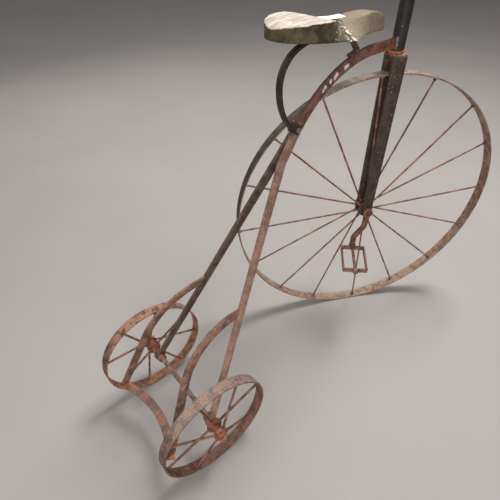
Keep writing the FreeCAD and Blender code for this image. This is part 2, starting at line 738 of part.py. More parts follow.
def front_nipples(rim):
    """Collars on the spokes against the inside of the hoop."""
    collars = []
    for start, end in front_spoke_ends():
        along = (start - end).normalize()
        spoke = rod(end - along * 2.0, end + along * 20.0, FRONT_SPOKE_R)
        outer = rod(end, end + along * 8.0, 4.2).cut(spoke)
        collars.append(largest(outer.cut(rim)))
    return steered(group(collars))


def hub_collars():
    """Loose collars between the front hub and the fork feet."""
    room = FORK_HALF - FORK_T - HUB_HALF
    pieces = []
    for side in SIDES.values():
        ends = sorted((side * HUB_HALF, side * (HUB_HALF + room - FACE_GAP)))
        pieces.append(ring(10.5, AXLE_R, ends[0], ends[1], FRONT_CENTRE))
    return steered(group(pieces))


# ---------------------------------------------------------------- cranks and pedals
def crank_flat():
    """Crank in the right-hand pose: hanging down, with its swan-neck bend to the rear."""
    points = [Vector(x, 0, z) for x, z in CRANK_POINTS]
    path = rounded_path(points, CRANK_BEND_R)
    arm = strip(path, Y_AXIS, CRANK_T, CRANK_W)
    for end in (points[0], points[-1]):
        boss = 12.5 if end == points[0] else 9.5
        arm = arm.fuse(rod(end - Y_AXIS * (CRANK_T / 2), end + Y_AXIS * (CRANK_T / 2), boss))
    return arm.cut(rod(Vector(0, -20, 0), Vector(0, 20, 0), AXLE_R))


def place_crank_part(shape, side):
    """Move a right-hand part to its side; the left one is mirrored and half a turn on."""
    placed = shape.copy()
    placed.translate(Vector(0, -CRANK_MID, 0))
    if side > 0:
        placed = placed.mirror(Vector(0, 0, 0), Y_AXIS)
        placed.rotate(Vector(0, 0, 0), Y_AXIS, 180.0)
    placed.translate(FRONT_CENTRE)
    return steered(placed)


def pin_direction():
    """Direction of the right pedal pin, away from the wheel."""
    splay = math.radians(PEDAL_SPLAY_DEG)
    droop = math.radians(PEDAL_DROOP_DEG)
    level = Vector(-math.sin(splay), -math.cos(splay), 0) * math.cos(droop)
    return level - Z_AXIS * math.sin(droop)


def pedal_pin(side):
    """Bent-out pin on the crank's end, with the nut that keeps the pedal on."""
    out = pin_direction()
    pin = rod(PIN_BASE, PIN_BASE + out * PIN_END, PEDAL_PIN_R)
    nut_at = PIN_BASE + out * (PEDAL_START + PEDAL_L + FACE_GAP)
    shoulder = rod(PIN_BASE, PIN_BASE + out * (PEDAL_START - FACE_GAP), 6.0)
    whole = pin.fuse(shoulder).fuse(rod(nut_at, nut_at + out * 6.0, 7.0))
    return place_crank_part(largest(whole.cut(crank_flat())), side)


def pedal_frame(side):
    """Open oblong of strap, turning on its pin through both end bars."""
    out = pin_direction()
    level = Vector(-out.y, out.x, 0).normalize()
    if level.x < 0:
        level = level * -1
    up = out.cross(level).normalize()
    if side > 0:
        level, up = up, level
    base = PIN_BASE + out * PEDAL_START
    half = level * (PEDAL_W / 2)
    outer = [base + half, base - half, base - half + out * PEDAL_L, base + half + out * PEDAL_L]
    inset = out * PEDAL_T
    thin = level * (PEDAL_W / 2 - PEDAL_T)
    inner = [base + thin + inset, base - thin + inset, base - thin + out * PEDAL_L - inset,
             base + thin + out * PEDAL_L - inset]
    blocks = []
    for loop in (outer, inner):
        face = Part.Face(Part.makePolygon(loop + loop[:1]))
        face.translate(up * (-PEDAL_BAR / 2))
        blocks.append(face.extrude(up * PEDAL_BAR))
    frame = blocks[0].cut(blocks[1])
    uprights = [edge for edge in frame.Edges if is_outer_corner(edge, up, base, out, half)]
    frame = frame.makeFillet(3.0, uprights)
    frame = frame.cut(rod(PIN_BASE, PIN_BASE + out * PIN_END, PEDAL_PIN_R + SHAFT_GAP))
    return place_crank_part(frame, side)


def is_outer_corner(edge, up, base, out, half):
    """True for the four outer upright edges of the pedal's oblong."""
    if edge.Length < PEDAL_BAR * 0.9 or edge.Length > PEDAL_BAR * 1.1:
        return False
    middle = edge.CenterOfMass
    centre = base + out * (PEDAL_L / 2)
    return (middle - centre).Length > math.hypot(half.Length, PEDAL_L / 2) - 1.0


# ---------------------------------------------------------------- rear wheels
def rear_rim(side):
    """Flat iron hoop of a rear wheel."""
    low, high = between(side, (REAR_TRACK - REAR_RIM_W) / 2, (REAR_TRACK + REAR_RIM_W) / 2)
    return ring(REAR_R, REAR_R - RIM_T, low, high, rear_centre())


def rear_hub(side):
    """Cast hub: barrel, two thick spoke flanges and a nose at each end."""
    bore = REAR_AXLE_R + SHAFT_GAP
    hub = ring(11.0, bore, *between(side, HUB_IN, HUB_OUT), rear_centre())
    for middle in (FLANGE_IN, FLANGE_OUT):
        hub = hub.fuse(ring(16.5, bore, *between(side, middle - 4.5, middle + 4.5), rear_centre()))
    return hub.removeSplitter()


def rear_spokes(side, hub, rim):
    """Eight rods that take the two flanges in turn."""
    rods = []
    for count in range(REAR_SPOKES):
        phase = REAR_SPOKE_PHASE["left" if side > 0 else "right"] + 360.0 / REAR_SPOKES * count
        flange = FLANGE_IN if count % 2 else FLANGE_OUT
        at_rim = REAR_TRACK / 2 + (-3.5 if count % 2 else 3.5)
        start, end = spoke_line(rear_centre(), phase, 12.0, REAR_R - 1.0, side * flange, side * at_rim)
        rods.append(largest(rod(start, end, REAR_SPOKE_R).cut(hub).cut(rim)))
    return group(rods)


# ---------------------------------------------------------------- output
def all_parts():
    """Every node's name and shape."""
    parts = {
        "head_tube": head_tube(),
        "backbone": backbone(),
        "left_stay": left_stay(),
        "right_brace": brace("right"),
        "left_brace": brace("left"),
        "rear_step": rear_step(),
        "rear_axle": rear_axle(),
        "linch_pins": group([linch_pin(side) for side in SIDES.values()]),
        "inner_axle_rings": inner_axle_rings(),
        "outer_axle_washers": group([axle_ring(side, HUB_OUT + FACE_GAP, HUB_OUT + 2.5, 11.0)
                                     for side in SIDES.values()]),
        "junction_clip": junction_clip(),
        "junction_bolt": junction_bolt(),
        "saddle_spring": saddle_spring(),
        "saddle_bracket": saddle_bracket(),
        "saddle_board": saddle_board(),
        "saddle_screws": saddle_screws(),
        "fork": fork(),
        "steerer": steerer(),
        "crown_washer": steerer_ring(17.0, FORK_CROWN_Z, HEAD_Z0 - FACE_GAP),
        "head_washer": steerer_ring(16.0, HEAD_Z1 + FACE_GAP, HEAD_Z1 + FACE_GAP + 2.5),
        "head_nut": head_nut(),
        "stem_head": stem_head(),
        "handlebar": handlebar(),
        "front_axle": front_axle(),
        "front_hub": steered(front_hub_straight()),
        "front_rim": steered(front_rim_straight()),
        "front_spokes": front_spokes(front_hub_straight(), front_rim_straight()),
        "front_spoke_collars": front_nipples(front_rim_straight()),
        "front_hub_collars": hub_collars(),
    }
    for name, side in SIDES.items():
        rim, hub = rear_rim(side), rear_hub(side)
        parts[name + "_grip"] = grip(side)
        parts[name + "_crank"] = place_crank_part(crank_flat(), side)
        parts[name + "_pedal_pin"] = pedal_pin(side)
        parts[name + "_pedal"] = pedal_frame(side)
        parts[name + "_rear_rim"] = rim
        parts[name + "_rear_hub"] = hub
        parts[name + "_rear_spokes"] = rear_spokes(side, hub, rim)
    return parts


os.makedirs("parts", exist_ok=True)
for node, solid in all_parts().items():
    solid.exportStep(os.path.join("parts", node + ".step"))
    print(node, len(solid.Solids), round(solid.Volume / 1000.0, 2), "cm3", solid.isValid())
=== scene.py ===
import logging
import math
import random
from collections.abc import Callable
from dataclasses import dataclass, field
from enum import Enum

import bpy
from mathutils import Matrix, Vector


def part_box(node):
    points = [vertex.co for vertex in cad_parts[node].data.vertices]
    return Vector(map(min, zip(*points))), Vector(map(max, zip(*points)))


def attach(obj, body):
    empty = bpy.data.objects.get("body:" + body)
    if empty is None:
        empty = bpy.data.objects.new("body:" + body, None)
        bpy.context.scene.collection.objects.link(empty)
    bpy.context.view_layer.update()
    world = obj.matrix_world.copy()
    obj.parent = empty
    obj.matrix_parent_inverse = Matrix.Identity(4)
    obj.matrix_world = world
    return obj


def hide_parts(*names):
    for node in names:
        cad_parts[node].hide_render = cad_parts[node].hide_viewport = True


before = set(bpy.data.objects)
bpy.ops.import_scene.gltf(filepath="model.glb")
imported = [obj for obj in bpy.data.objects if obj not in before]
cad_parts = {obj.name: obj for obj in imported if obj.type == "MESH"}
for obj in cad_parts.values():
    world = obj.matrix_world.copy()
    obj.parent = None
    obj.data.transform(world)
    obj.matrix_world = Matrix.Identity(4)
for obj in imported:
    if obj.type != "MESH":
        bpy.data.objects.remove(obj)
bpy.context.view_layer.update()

# The looks of a child's old iron high-wheel tricycle.  Metres: X forward, Y left, Z up.
log = logging.getLogger("tricycle")

Socket = bpy.types.NodeSocket
Sockets = bpy.types.bpy_prop_collection
Colour = tuple[float, float, float, float]


class Side(Enum):
    """Which side of the tricycle a piece is on; the value is its sign along Y."""

    LEFT = 1.0
    RIGHT = -1.0

    def named(self, piece: str) -> str:
        """Puts the side in front of a piece's name."""
        return f"{self.name.lower()}_{piece}"


class Edge(Enum):
    """How far the corners of a forged bar are rounded, in metres."""

    CRISP = 0.0004
    WORN = 0.0008
    SOFT = 0.0014


@dataclass(frozen=True)
class Layout:
    """Places that several sub-assemblies share."""

    rear_x: float = -0.40752
    head_x: float = 0.21748
    steer: float = math.radians(-28.0)
    front_radius: float = 0.3556
    rear_radius: float = 0.1305
    rear_half_track: float = 0.135
    rim_wall: float = 0.0032

    @property
    def ahead(self) -> Vector:
        """Forward direction of the turned front wheel."""
        return Vector((math.cos(self.steer), math.sin(self.steer), 0.0))

    @property
    def across(self) -> Vector:
        """Left along the turned front axle."""
        return Vector((-math.sin(self.steer), math.cos(self.steer), 0.0))

    @property
    def front_centre(self) -> Vector:
        """Middle of the front wheel."""
        return Vector((self.head_x, 0.0, self.front_radius))

    def rear_centre(self, side: Side) -> Vector:
        """Middle of a rear wheel."""
        return Vector((self.rear_x, side.value * self.rear_half_track, self.rear_radius))


LAYOUT = Layout()


@dataclass(frozen=True)
class Tone:
    """A colour given as display values from 0 to 255."""

    red: float
    green: float
    blue: float

    def linear(self) -> Colour:
        """The colour in the linear values that shaders take."""
        parts = []
        for value in (self.red, self.green, self.blue):
            part = value / 255.0
            parts.append(part / 12.92 if part <= 0.04045 else ((part + 0.055) / 1.055) ** 2.4)
        return (parts[0], parts[1], parts[2], 1.0)


ORANGE = Tone(206, 126, 72)
RUSSET = Tone(150, 88, 60)
CHALK = Tone(226, 220, 212)
FINE_DARK = (0.52, 0.49, 0.47, 1.0)
FINE_PALE = (1.62, 1.52, 1.46, 1.0)
ASH_STAIN = (0.30, 0.27, 0.26, 1.0)
PIT_STAIN = (0.28, 0.22, 0.18, 1.0)
CRACK_STAIN = (0.38, 0.32, 0.26, 1.0)
MOULD_STAIN = (0.42, 0.40, 0.36, 1.0)
LINE_STAIN = (0.62, 0.60, 0.58, 1.0)
NOSE_STAIN = (0.66, 0.62, 0.58, 1.0)


# ------------------------------------------------------------------ shader wiring
class Wiring:
    """Short ways to add and join the nodes of one tree."""

    def __init__(self, tree: bpy.types.NodeTree) -> None:
        """Takes the tree to work on."""
        self.tree = tree

    def add(self, kind: str, feeds: dict | None = None, **settings: object) -> bpy.types.Node:
        """Adds a node.

        Args:
            kind: The node's type.
            feeds: Socket name or number to a value, or to the socket that feeds it.
            **settings: Attributes of the node, set before its sockets.

        Returns:
            The node.
        """
        made = self.tree.nodes.new(kind)
        for key, value in settings.items():
            setattr(made, key, value)
        for key, value in (feeds or {}).items():
            if isinstance(value, Socket):
                self.tree.links.new(value, made.inputs[key])
            else:
                made.inputs[key].default_value = value
        return made

    def step(self, operation: str, first: Socket | float, second: Socket | float = 0.0) -> Socket:
        """One step of arithmetic on two values."""
        return self.add("ShaderNodeMath", {0: first, 1: second}, operation=operation).outputs[0]

    def plus(self, first: Socket | float, second: Socket | float) -> Socket:
        """The sum of two values."""
        return self.step("ADD", first, second)

    def minus(self, first: Socket | float, second: Socket | float) -> Socket:
        """The first value less the second."""
        return self.step("SUBTRACT", first, second)

    def times(self, first: Socket | float, second: Socket | float) -> Socket:
        """The product of two values."""
        return self.step("MULTIPLY", first, second)

    def vector(self, operation: str, first: Socket, second: object = (0.0, 0.0, 0.0)) -> Socket:
        """One step of arithmetic on two vectors; a vector, or a value for a product or a length."""
        made = self.add("ShaderNodeVectorMath", {0: first, 1: second}, operation=operation)
        return made.outputs["Value" if operation in ("DOT_PRODUCT", "LENGTH") else "Vector"]

    def scaled(self, first: Socket, factor: float) -> Socket:
        """A vector times a number."""
        return self.add("ShaderNodeVectorMath", {0: first, "Scale": factor}, operation="SCALE").outputs[0]

    def part(self, vector: Socket, axis: str) -> Socket:
        """One part of a vector."""
        return self.add("ShaderNodeSeparateXYZ", {0: vector}).outputs[axis]

    def ramp(self, value: Socket, low: Socket | float, high: Socket | float) -> Socket:
        """A smooth step from 0 at low to 1 at high."""
        feeds = {"Value": value, "From Min": low, "From Max": high}
        return self.add("ShaderNodeMapRange", feeds, interpolation_type="SMOOTHSTEP").outputs[0]

    def mix(self, share: Socket | float, first: Socket | Colour, second: Socket | Colour) -> Socket:
        """Mixes two colours."""
        feeds = {0: share, 6: first, 7: second}
        return self.add("ShaderNodeMix", feeds, data_type="RGBA").outputs[2]

    def shade(self, share: Socket | float, first: Socket, second: Socket | Colour) -> Socket:
        """Multiplies a colour by another."""
        feeds = {0: share, 6: first, 7: second}
        made = self.add("ShaderNodeMix", feeds, data_type="RGBA", blend_type="MULTIPLY")
        return made.outputs[2]

    def noise(self, place: Socket, scale: Socket | float, detail: float = 5.0, rough: float = 0.6) -> Socket:
        """A cloudy value round one half."""
        feeds = {"Vector": place, "Scale": scale, "Detail": detail, "Roughness": rough}
        return self.add("ShaderNodeTexNoise", feeds).outputs["Fac"]

    def wobble(
        self, amount: float, place: Socket, scale: float, detail: float = 5.0, rough: float = 0.6
    ) -> Socket:
        """A cloudy value round zero."""
        return self.times(self.minus(self.noise(place, scale, detail, rough), 0.5), amount)

    def group(self, tree: bpy.types.NodeTree, feeds: dict[str, object]) -> bpy.types.Node:
        """Places a shared effect."""
        return self.add("ShaderNodeGroup", feeds, node_tree=tree)


def new_group(
    name: str, fill: Callable[[Wiring, Sockets], dict[str, Socket]], takes: dict[str, str]
) -> bpy.types.NodeTree:
    """Makes a shader node group.

    Args:
        name: The group's name.
        fill: Wires its inside, from the input sockets to the named results.
        takes: Input name to its socket type.

    Returns:
        The group.
    """
    tree = bpy.data.node_groups.new(name, "ShaderNodeTree")
    for label, kind in takes.items():
        tree.interface.new_socket(label, in_out="INPUT", socket_type=kind)
    w = Wiring(tree)
    results = fill(w, w.add("NodeGroupInput").outputs)
    for label in results:
        kind = HUE if label == "Colour" else VALUE
        tree.interface.new_socket(label, in_out="OUTPUT", socket_type=kind)
    w.add("NodeGroupOutput", results)
    return tree


def new_material(name: str) -> tuple[bpy.types.Material, Wiring]:
    """Starts a material with an empty tree.

    Args:
        name: The material's name.

    Returns:
        The material and its wiring.
    """
    made = bpy.data.materials.new(name)
    made.use_nodes = True
    made.node_tree.nodes.clear()
    return made, Wiring(made.node_tree)


def surface(w: Wiring, feeds: dict[str, object]) -> None:
    """Ends a material with its shader.

    Args:
        w: The material's wiring.
        feeds: The shader's inputs.
    """
    shader = w.add("ShaderNodeBsdfPrincipled", feeds)
    w.add("ShaderNodeOutputMaterial", {"Surface": shader.outputs[0]})


VALUE, HUE, PLACE = "NodeSocketFloat", "NodeSocketColor", "NodeSocketVector"


class Effects:
    """The surface effects that several finishes share, each built once."""

    def __init__(self) -> None:
        """Builds every group."""
        tones = {"Dark": HUE, "Mid": HUE, "Bright": HUE}
        self.rust = new_group(
            "rust_coat", self._rust,
            {"Place": PLACE, **tones, "Scale": VALUE, "Bright Share": VALUE, "Pits": VALUE})
        self.rub = new_group("corner_rub", self._rub, {"Place": PLACE, "Width": VALUE})
        self.dust = new_group("settled_dust", self._dust, {"Place": PLACE, "Facing": PLACE, "Amount": VALUE})
        self.flecks = new_group("flecks", self._flecks, {"Place": PLACE, "Scale": VALUE, "Share": VALUE})
        self.grain = new_group("wood_grain", self._grain, {"Place": PLACE, "Scale": VALUE})
        self.hoop = new_group(
            "hoop_sides", self._hoop, {"Place": PLACE, "Facing": PLACE, "Centre": PLACE, "Towards": PLACE})
        self.spot = new_group("ragged_spot", self._spot, {"Place": PLACE, "Middle": PLACE, "Radius": VALUE})

    @staticmethod
    def _rust(w: Wiring, get: Sockets) -> dict[str, Socket]:
        """Patches of three tones of rust with fine scale and pits."""
        place, scale = get["Place"], get["Scale"]
        broad = w.noise(place, scale, 6.0, 0.62)
        cover = w.ramp(broad, 0.44, 0.55)
        moved = w.vector("ADD", place, (0.37, 0.11, 0.73))
        patch = w.noise(moved, w.times(scale, 2.1), 8.0, 0.72)
        low = w.minus(0.70, w.times(get["Bright Share"], 0.36))
        bloom = w.ramp(patch, low, w.plus(low, 0.06))
        fine = w.noise(place, w.times(scale, 7.0), 8.0, 0.8)
        cells = w.add("ShaderNodeTexVoronoi", {"Vector": place, "Scale": w.times(scale, 8.0)})
        hole = w.ramp(cells.outputs["Distance"], 0.28, 0.10)
        hole = w.times(hole, w.ramp(patch, 0.52, 0.64))
        hole = w.times(hole, get["Pits"])
        colour = w.mix(cover, get["Dark"], get["Mid"])
        colour = w.mix(bloom, colour, get["Bright"])
        moved = w.vector("ADD", place, (0.9, 0.4, 0.2))
        ash = w.ramp(w.noise(moved, w.times(scale, 5.0), 6.0, 0.75), 0.60, 0.70)
        colour = w.mix(w.times(ash, 0.55), colour, w.shade(1.0, get["Mid"], ASH_STAIN))
        shade = w.ramp(fine, 0.34, 0.66)
        deep = w.shade(1.0, colour, FINE_DARK)
        pale = w.shade(1.0, colour, FINE_PALE)
        colour = w.mix(shade, deep, pale)
        colour = w.shade(w.times(hole, 0.8), colour, PIT_STAIN)
        rough = w.plus(w.times(shade, 0.18), w.times(bloom, 0.16))
        height = w.plus(w.times(fine, 0.55), w.times(patch, 0.75))
        height = w.minus(height, w.times(hole, 0.6))
        return {"Colour": colour, "Roughness": rough, "Height": height}

    @staticmethod
    def _rub(w: Wiring, get: Sockets) -> dict[str, Socket]:
        """A mask of the corners, where hands and feet have rubbed."""
        round_face = w.add("ShaderNodeBevel", {"Radius": get["Width"]}, samples=4).outputs[0]
        flat_face = w.add("ShaderNodeNewGeometry").outputs["Normal"]
        turn = w.vector("DOT_PRODUCT", round_face, flat_face)
        mask = w.ramp(w.minus(1.0, turn), 0.015, 0.14)
        ragged = w.ramp(w.noise(get["Place"], 220.0, 4.0, 0.7), 0.38, 0.62)
        kept = w.minus(1.0, w.times(w.minus(1.0, ragged), 0.6))
        return {"Mask": w.times(mask, kept)}

    @staticmethod
    def _dust(w: Wiring, get: Sockets) -> dict[str, Socket]:
        """A mask of the faces that look up, where dust has settled."""
        up = w.part(get["Facing"], "Z")
        mask = w.ramp(up, -0.25, 0.9)
        cloud = w.ramp(w.noise(get["Place"], 55.0, 6.0, 0.7), 0.36, 0.62)
        mask = w.times(w.times(mask, cloud), get["Amount"])
        return {"Mask": mask}

    @staticmethod
    def _flecks(w: Wiring, get: Sockets) -> dict[str, Socket]:
        """A mask of small scattered specks of paint or chalk."""
        bent = w.add("ShaderNodeTexNoise", {"Vector": get["Place"], "Scale": 300.0}).outputs["Color"]
        place = w.vector("ADD", get["Place"], w.scaled(bent, 0.004))
        cells = w.add("ShaderNodeTexVoronoi", {"Vector": place, "Scale": get["Scale"]})
        speck = w.ramp(cells.outputs["Distance"], 0.30, 0.16)
        chosen = w.part(cells.outputs["Color"], "X")
        chosen = w.step("LESS_THAN", chosen, get["Share"])
        return {"Mask": w.times(speck, chosen)}

    @staticmethod
    def _grain(w: Wiring, get: Sockets) -> dict[str, Socket]:
        """Long grain of weathered wood along X."""
        cloud = {"Vector": get["Place"], "Scale": 9.0, "Detail": 2.0}
        sway = w.add("ShaderNodeTexNoise", cloud).outputs["Color"]
        sway = w.scaled(w.vector("SUBTRACT", sway, (0.5, 0.5, 0.5)), 0.03)
        place = w.vector("ADD", get["Place"], sway)
        long = w.vector("MULTIPLY", place, (0.10, 1.0, 1.0))
        lines = w.noise(long, w.times(get["Scale"], 6.0), 7.0, 0.68)
        thin = w.noise(long, w.times(get["Scale"], 26.0), 4.0, 0.6)
        longer = w.vector("MULTIPLY", place, (0.05, 1.0, 1.0))
        cracks = w.ramp(w.noise(longer, 330.0, 3.0), 0.66, 0.74)
        blend = w.plus(w.times(lines, 0.65), w.times(thin, 0.35))
        height = w.minus(blend, w.times(cracks, 0.8))
        return {"Lines": w.ramp(blend, 0.34, 0.66), "Cracks": cracks, "Height": height}

    @staticmethod
    def _hoop(w: Wiring, get: Sockets) -> dict[str, Socket]:
        """Masks of a hoop's outside and of the side of its circle where shade is painted."""
        out = w.vector("SUBTRACT", get["Place"], get["Centre"])
        out = w.vector("NORMALIZE", out)
        facing = w.vector("DOT_PRODUCT", out, get["Facing"])
        # The side of the circle that faces the given direction is where shade is painted.
        arc = w.vector("DOT_PRODUCT", out, get["Towards"])
        arc = w.plus(arc, w.wobble(0.9, get["Place"], 30.0))
        return {"Outside": w.ramp(facing, 0.3, 0.7), "Arc": w.ramp(arc, 0.15, 0.65)}

    @staticmethod
    def _spot(w: Wiring, get: Sockets) -> dict[str, Socket]:
        """A mask of one very ragged spot round a point."""
        away = w.vector("SUBTRACT", get["Place"], get["Middle"])
        far = w.vector("LENGTH", away)
        share = w.step("DIVIDE", far, get["Radius"])
        ragged = w.wobble(3.4, get["Place"], 150.0, 6.0, 0.7)
        return {"Mask": w.ramp(w.plus(share, ragged), 1.0, 0.72)}


# ------------------------------------------------------------------ finishes
@dataclass(frozen=True)
class Spot:
    """A ragged spot of another tone on a piece."""

    middle: tuple[float, float, float]
    radius: float
    tone: Tone
    share: float = 0.85


@dataclass(frozen=True)
class Finish:
    """A look that one material gives."""

    name: str

    def feeds(self, w: Wiring, kit: Effects, place: Socket, facing: Socket) -> dict[str, object]:
        """What the shader takes.

        Args:
            w: The material's wiring.
            kit: The shared effects.
            place: Where on the piece.
            facing: Which way its face looks.

        Returns:
            The shader's inputs.
        """
        raise NotImplementedError

    def build(self, kit: Effects) -> bpy.types.Material:
        """Makes the material.

        Args:
            kit: The shared effects.

        Returns:
            The material.
        """
        made, w = new_material(self.name)
        where = w.add("ShaderNodeTexCoord").outputs
        surface(w, self.feeds(w, kit, where["Object"], where["Normal"]))
        return made


@dataclass(frozen=True)
class IronFinish(Finish):
    """Old iron under rust, dust and rubbed corners.

    Attributes:
        dark, mid, bright: Tones of the rust, from the oldest to the freshest.
        scale: Patches across a metre.
        share: How much of it is the freshest tone.
        pits: How deep and dark its pits are.
        dust, dust_tone: How much dust lies on it, and its colour.
        rub, rub_tone: How far its corners are rubbed, and their colour.
        flecks, fleck_tone: Share of light specks, and their colour.
        roughness: The least roughness.
        relief: Height of the scale in metres.
        spots: Ragged spots of another tone at given points.
    """

    dark: Tone
    mid: Tone
    bright: Tone
    scale: float = 28.0
    share: float = 0.3
    pits: float = 0.6
    dust: float = 0.25
    dust_tone: Tone = Tone(150, 132, 120)
    rub: float = 0.5
    rub_tone: Tone = Tone(150, 112, 92)
    flecks: float = 0.0
    fleck_tone: Tone = Tone(196, 184, 172)
    roughness: float = 0.52
    relief: float = 0.0007
    spots: tuple[Spot, ...] = ()

    def rust(self, w: Wiring, kit: Effects, place: Socket, tones: tuple[Tone, Tone, Tone]) -> bpy.types.Node:
        """One coat of rust in three tones.

        Args:
            w: The material's wiring.
            kit: The shared effects.
            place: Where on the piece.
            tones: Dark, mid and bright.

        Returns:
            The group node.
        """
        feeds = {
            "Place": place, "Dark": tones[0].linear(), "Mid": tones[1].linear(), "Bright": tones[2].linear(),
            "Scale": self.scale * 1.7, "Bright Share": self.share, "Pits": self.pits,
        }
        return w.group(kit.rust, feeds)

    def coat(self, w: Wiring, kit: Effects, place: Socket, facing: Socket) -> tuple[Socket, bpy.types.Node]:
        """The rust before dust and wear.

        Args:
            w: The material's wiring.
            kit: The shared effects.
            place: Where on the piece.
            facing: Which way its face looks.

        Returns:
            Its colour and the rust node that gives roughness and height.
        """
        coat = self.rust(w, kit, place, (self.dark, self.mid, self.bright))
        return coat.outputs["Colour"], coat

    def feeds(self, w: Wiring, kit: Effects, place: Socket, facing: Socket) -> dict[str, object]:
        """Rust, then its spots, rubbed corners, dust and flecks."""
        colour, coat = self.coat(w, kit, place, facing)
        for spot in self.spots:
            feeds = {"Place": place, "Middle": spot.middle, "Radius": spot.radius}
            mask = w.times(w.group(kit.spot, feeds).outputs["Mask"], spot.share)
            mask = w.times(mask, w.ramp(coat.outputs["Height"], 0.35, 0.6))
            colour = w.mix(mask, colour, spot.tone.linear())
        if self.rub:
            rub = w.group(kit.rub, {"Place": place, "Width": 0.0014})
            share = w.times(rub.outputs["Mask"], self.rub)
            colour = w.mix(share, colour, self.rub_tone.linear())
        dust = w.group(kit.dust, {"Place": place, "Facing": facing, "Amount": self.dust})
        colour = w.mix(dust.outputs["Mask"], colour, self.dust_tone.linear())
        if self.flecks:
            speck = w.group(kit.flecks, {"Place": place, "Scale": 260.0, "Share": self.flecks})
            colour = w.mix(w.times(speck.outputs["Mask"], 0.8), colour, self.fleck_tone.linear())
        rough = w.plus(coat.outputs["Roughness"], self.roughness)
        rough = w.plus(rough, w.times(dust.outputs["Mask"], 0.2))
        height = {"Height": coat.outputs["Height"], "Strength": 1.0, "Distance": self.relief * 1.6}
        bump = w.add("ShaderNodeBump", height)
        return {
            "Base Color": colour, "Roughness": w.step("MINIMUM", rough, 1.0), "Normal": bump.outputs[0],
            "Metallic": 0.0, "Specular IOR Level": 0.35,
        }


@dataclass(frozen=True)
class HoopFinish(IronFinish):
    """A flat hoop whose tread and inside have rusted differently, with painted shade on the tread's back side.
    """

    inner: tuple[Tone, Tone, Tone] = (Tone(112, 88, 70), Tone(144, 122, 104), Tone(164, 144, 126))
    # Tones of the painted shade on the back side of the tread.
    arc: tuple[Tone, Tone, Tone] = (Tone(36, 29, 25), Tone(48, 38, 32), Tone(80, 60, 48))
    centre: tuple[float, float, float] = (0.0, 0.0, 0.0)
    towards: tuple[float, float, float] = (-1.0, 0.0, 0.0)

    def coat(self, w: Wiring, kit: Effects, place: Socket, facing: Socket) -> tuple[Socket, bpy.types.Node]:
        """The tread and the inside, each in its own rust, and the back side of the tread darkened as painted
        shade.
        """
        feeds = {"Place": place, "Facing": facing, "Centre": self.centre, "Towards": self.towards}
        sides = w.group(kit.hoop, feeds)
        tread = self.rust(w, kit, place, (self.dark, self.mid, self.bright))
        arc = self.rust(w, kit, place, self.arc)
        inside = self.rust(w, kit, place, self.inner)
        # Painted shade: the tread takes the darker tones on the side of its circle that looks away from the key
        # lamp.
        colour = w.mix(sides.outputs["Arc"], tread.outputs["Colour"], arc.outputs["Colour"])
        colour = w.mix(sides.outputs["Outside"], inside.outputs["Colour"], colour)
        return colour, tread


@dataclass(frozen=True)
class SpineFinish(IronFinish):
    """The long bar: red-brown up by the head, dusty where it runs down as a stay."""

    stay: tuple[Tone, Tone, Tone] = (Tone(130, 102, 88), Tone(156, 125, 110), Tone(176, 146, 129))
    head: tuple[Tone, Tone, Tone] = (Tone(96, 60, 46), Tone(138, 86, 64), Tone(172, 100, 66))
    edge: Tone = Tone(44, 35, 31)

    def coat(self, w: Wiring, kit: Effects, place: Socket, facing: Socket) -> tuple[Socket, bpy.types.Node]:
        """Three rusts, told apart by how far along the bar they lie."""
        x = w.part(place, "X")
        x = w.plus(x, w.wobble(0.10, place, 26.0))
        up = w.part(facing, "Z")
        long = self.rust(w, kit, place, (self.dark, self.mid, self.bright))
        stay = self.rust(w, kit, place, self.stay)
        head = self.rust(w, kit, place, self.head)
        top = w.times(w.ramp(up, 0.35, 0.6), w.ramp(x, -0.12, -0.04))
        colour = w.mix(w.ramp(x, -0.11, -0.05), stay.outputs["Colour"], long.outputs["Colour"])
        colour = w.mix(w.ramp(x, 0.10, 0.16), colour, head.outputs["Colour"])
        colour = w.mix(w.times(top, 0.85), colour, self.edge.linear())
        return colour, long


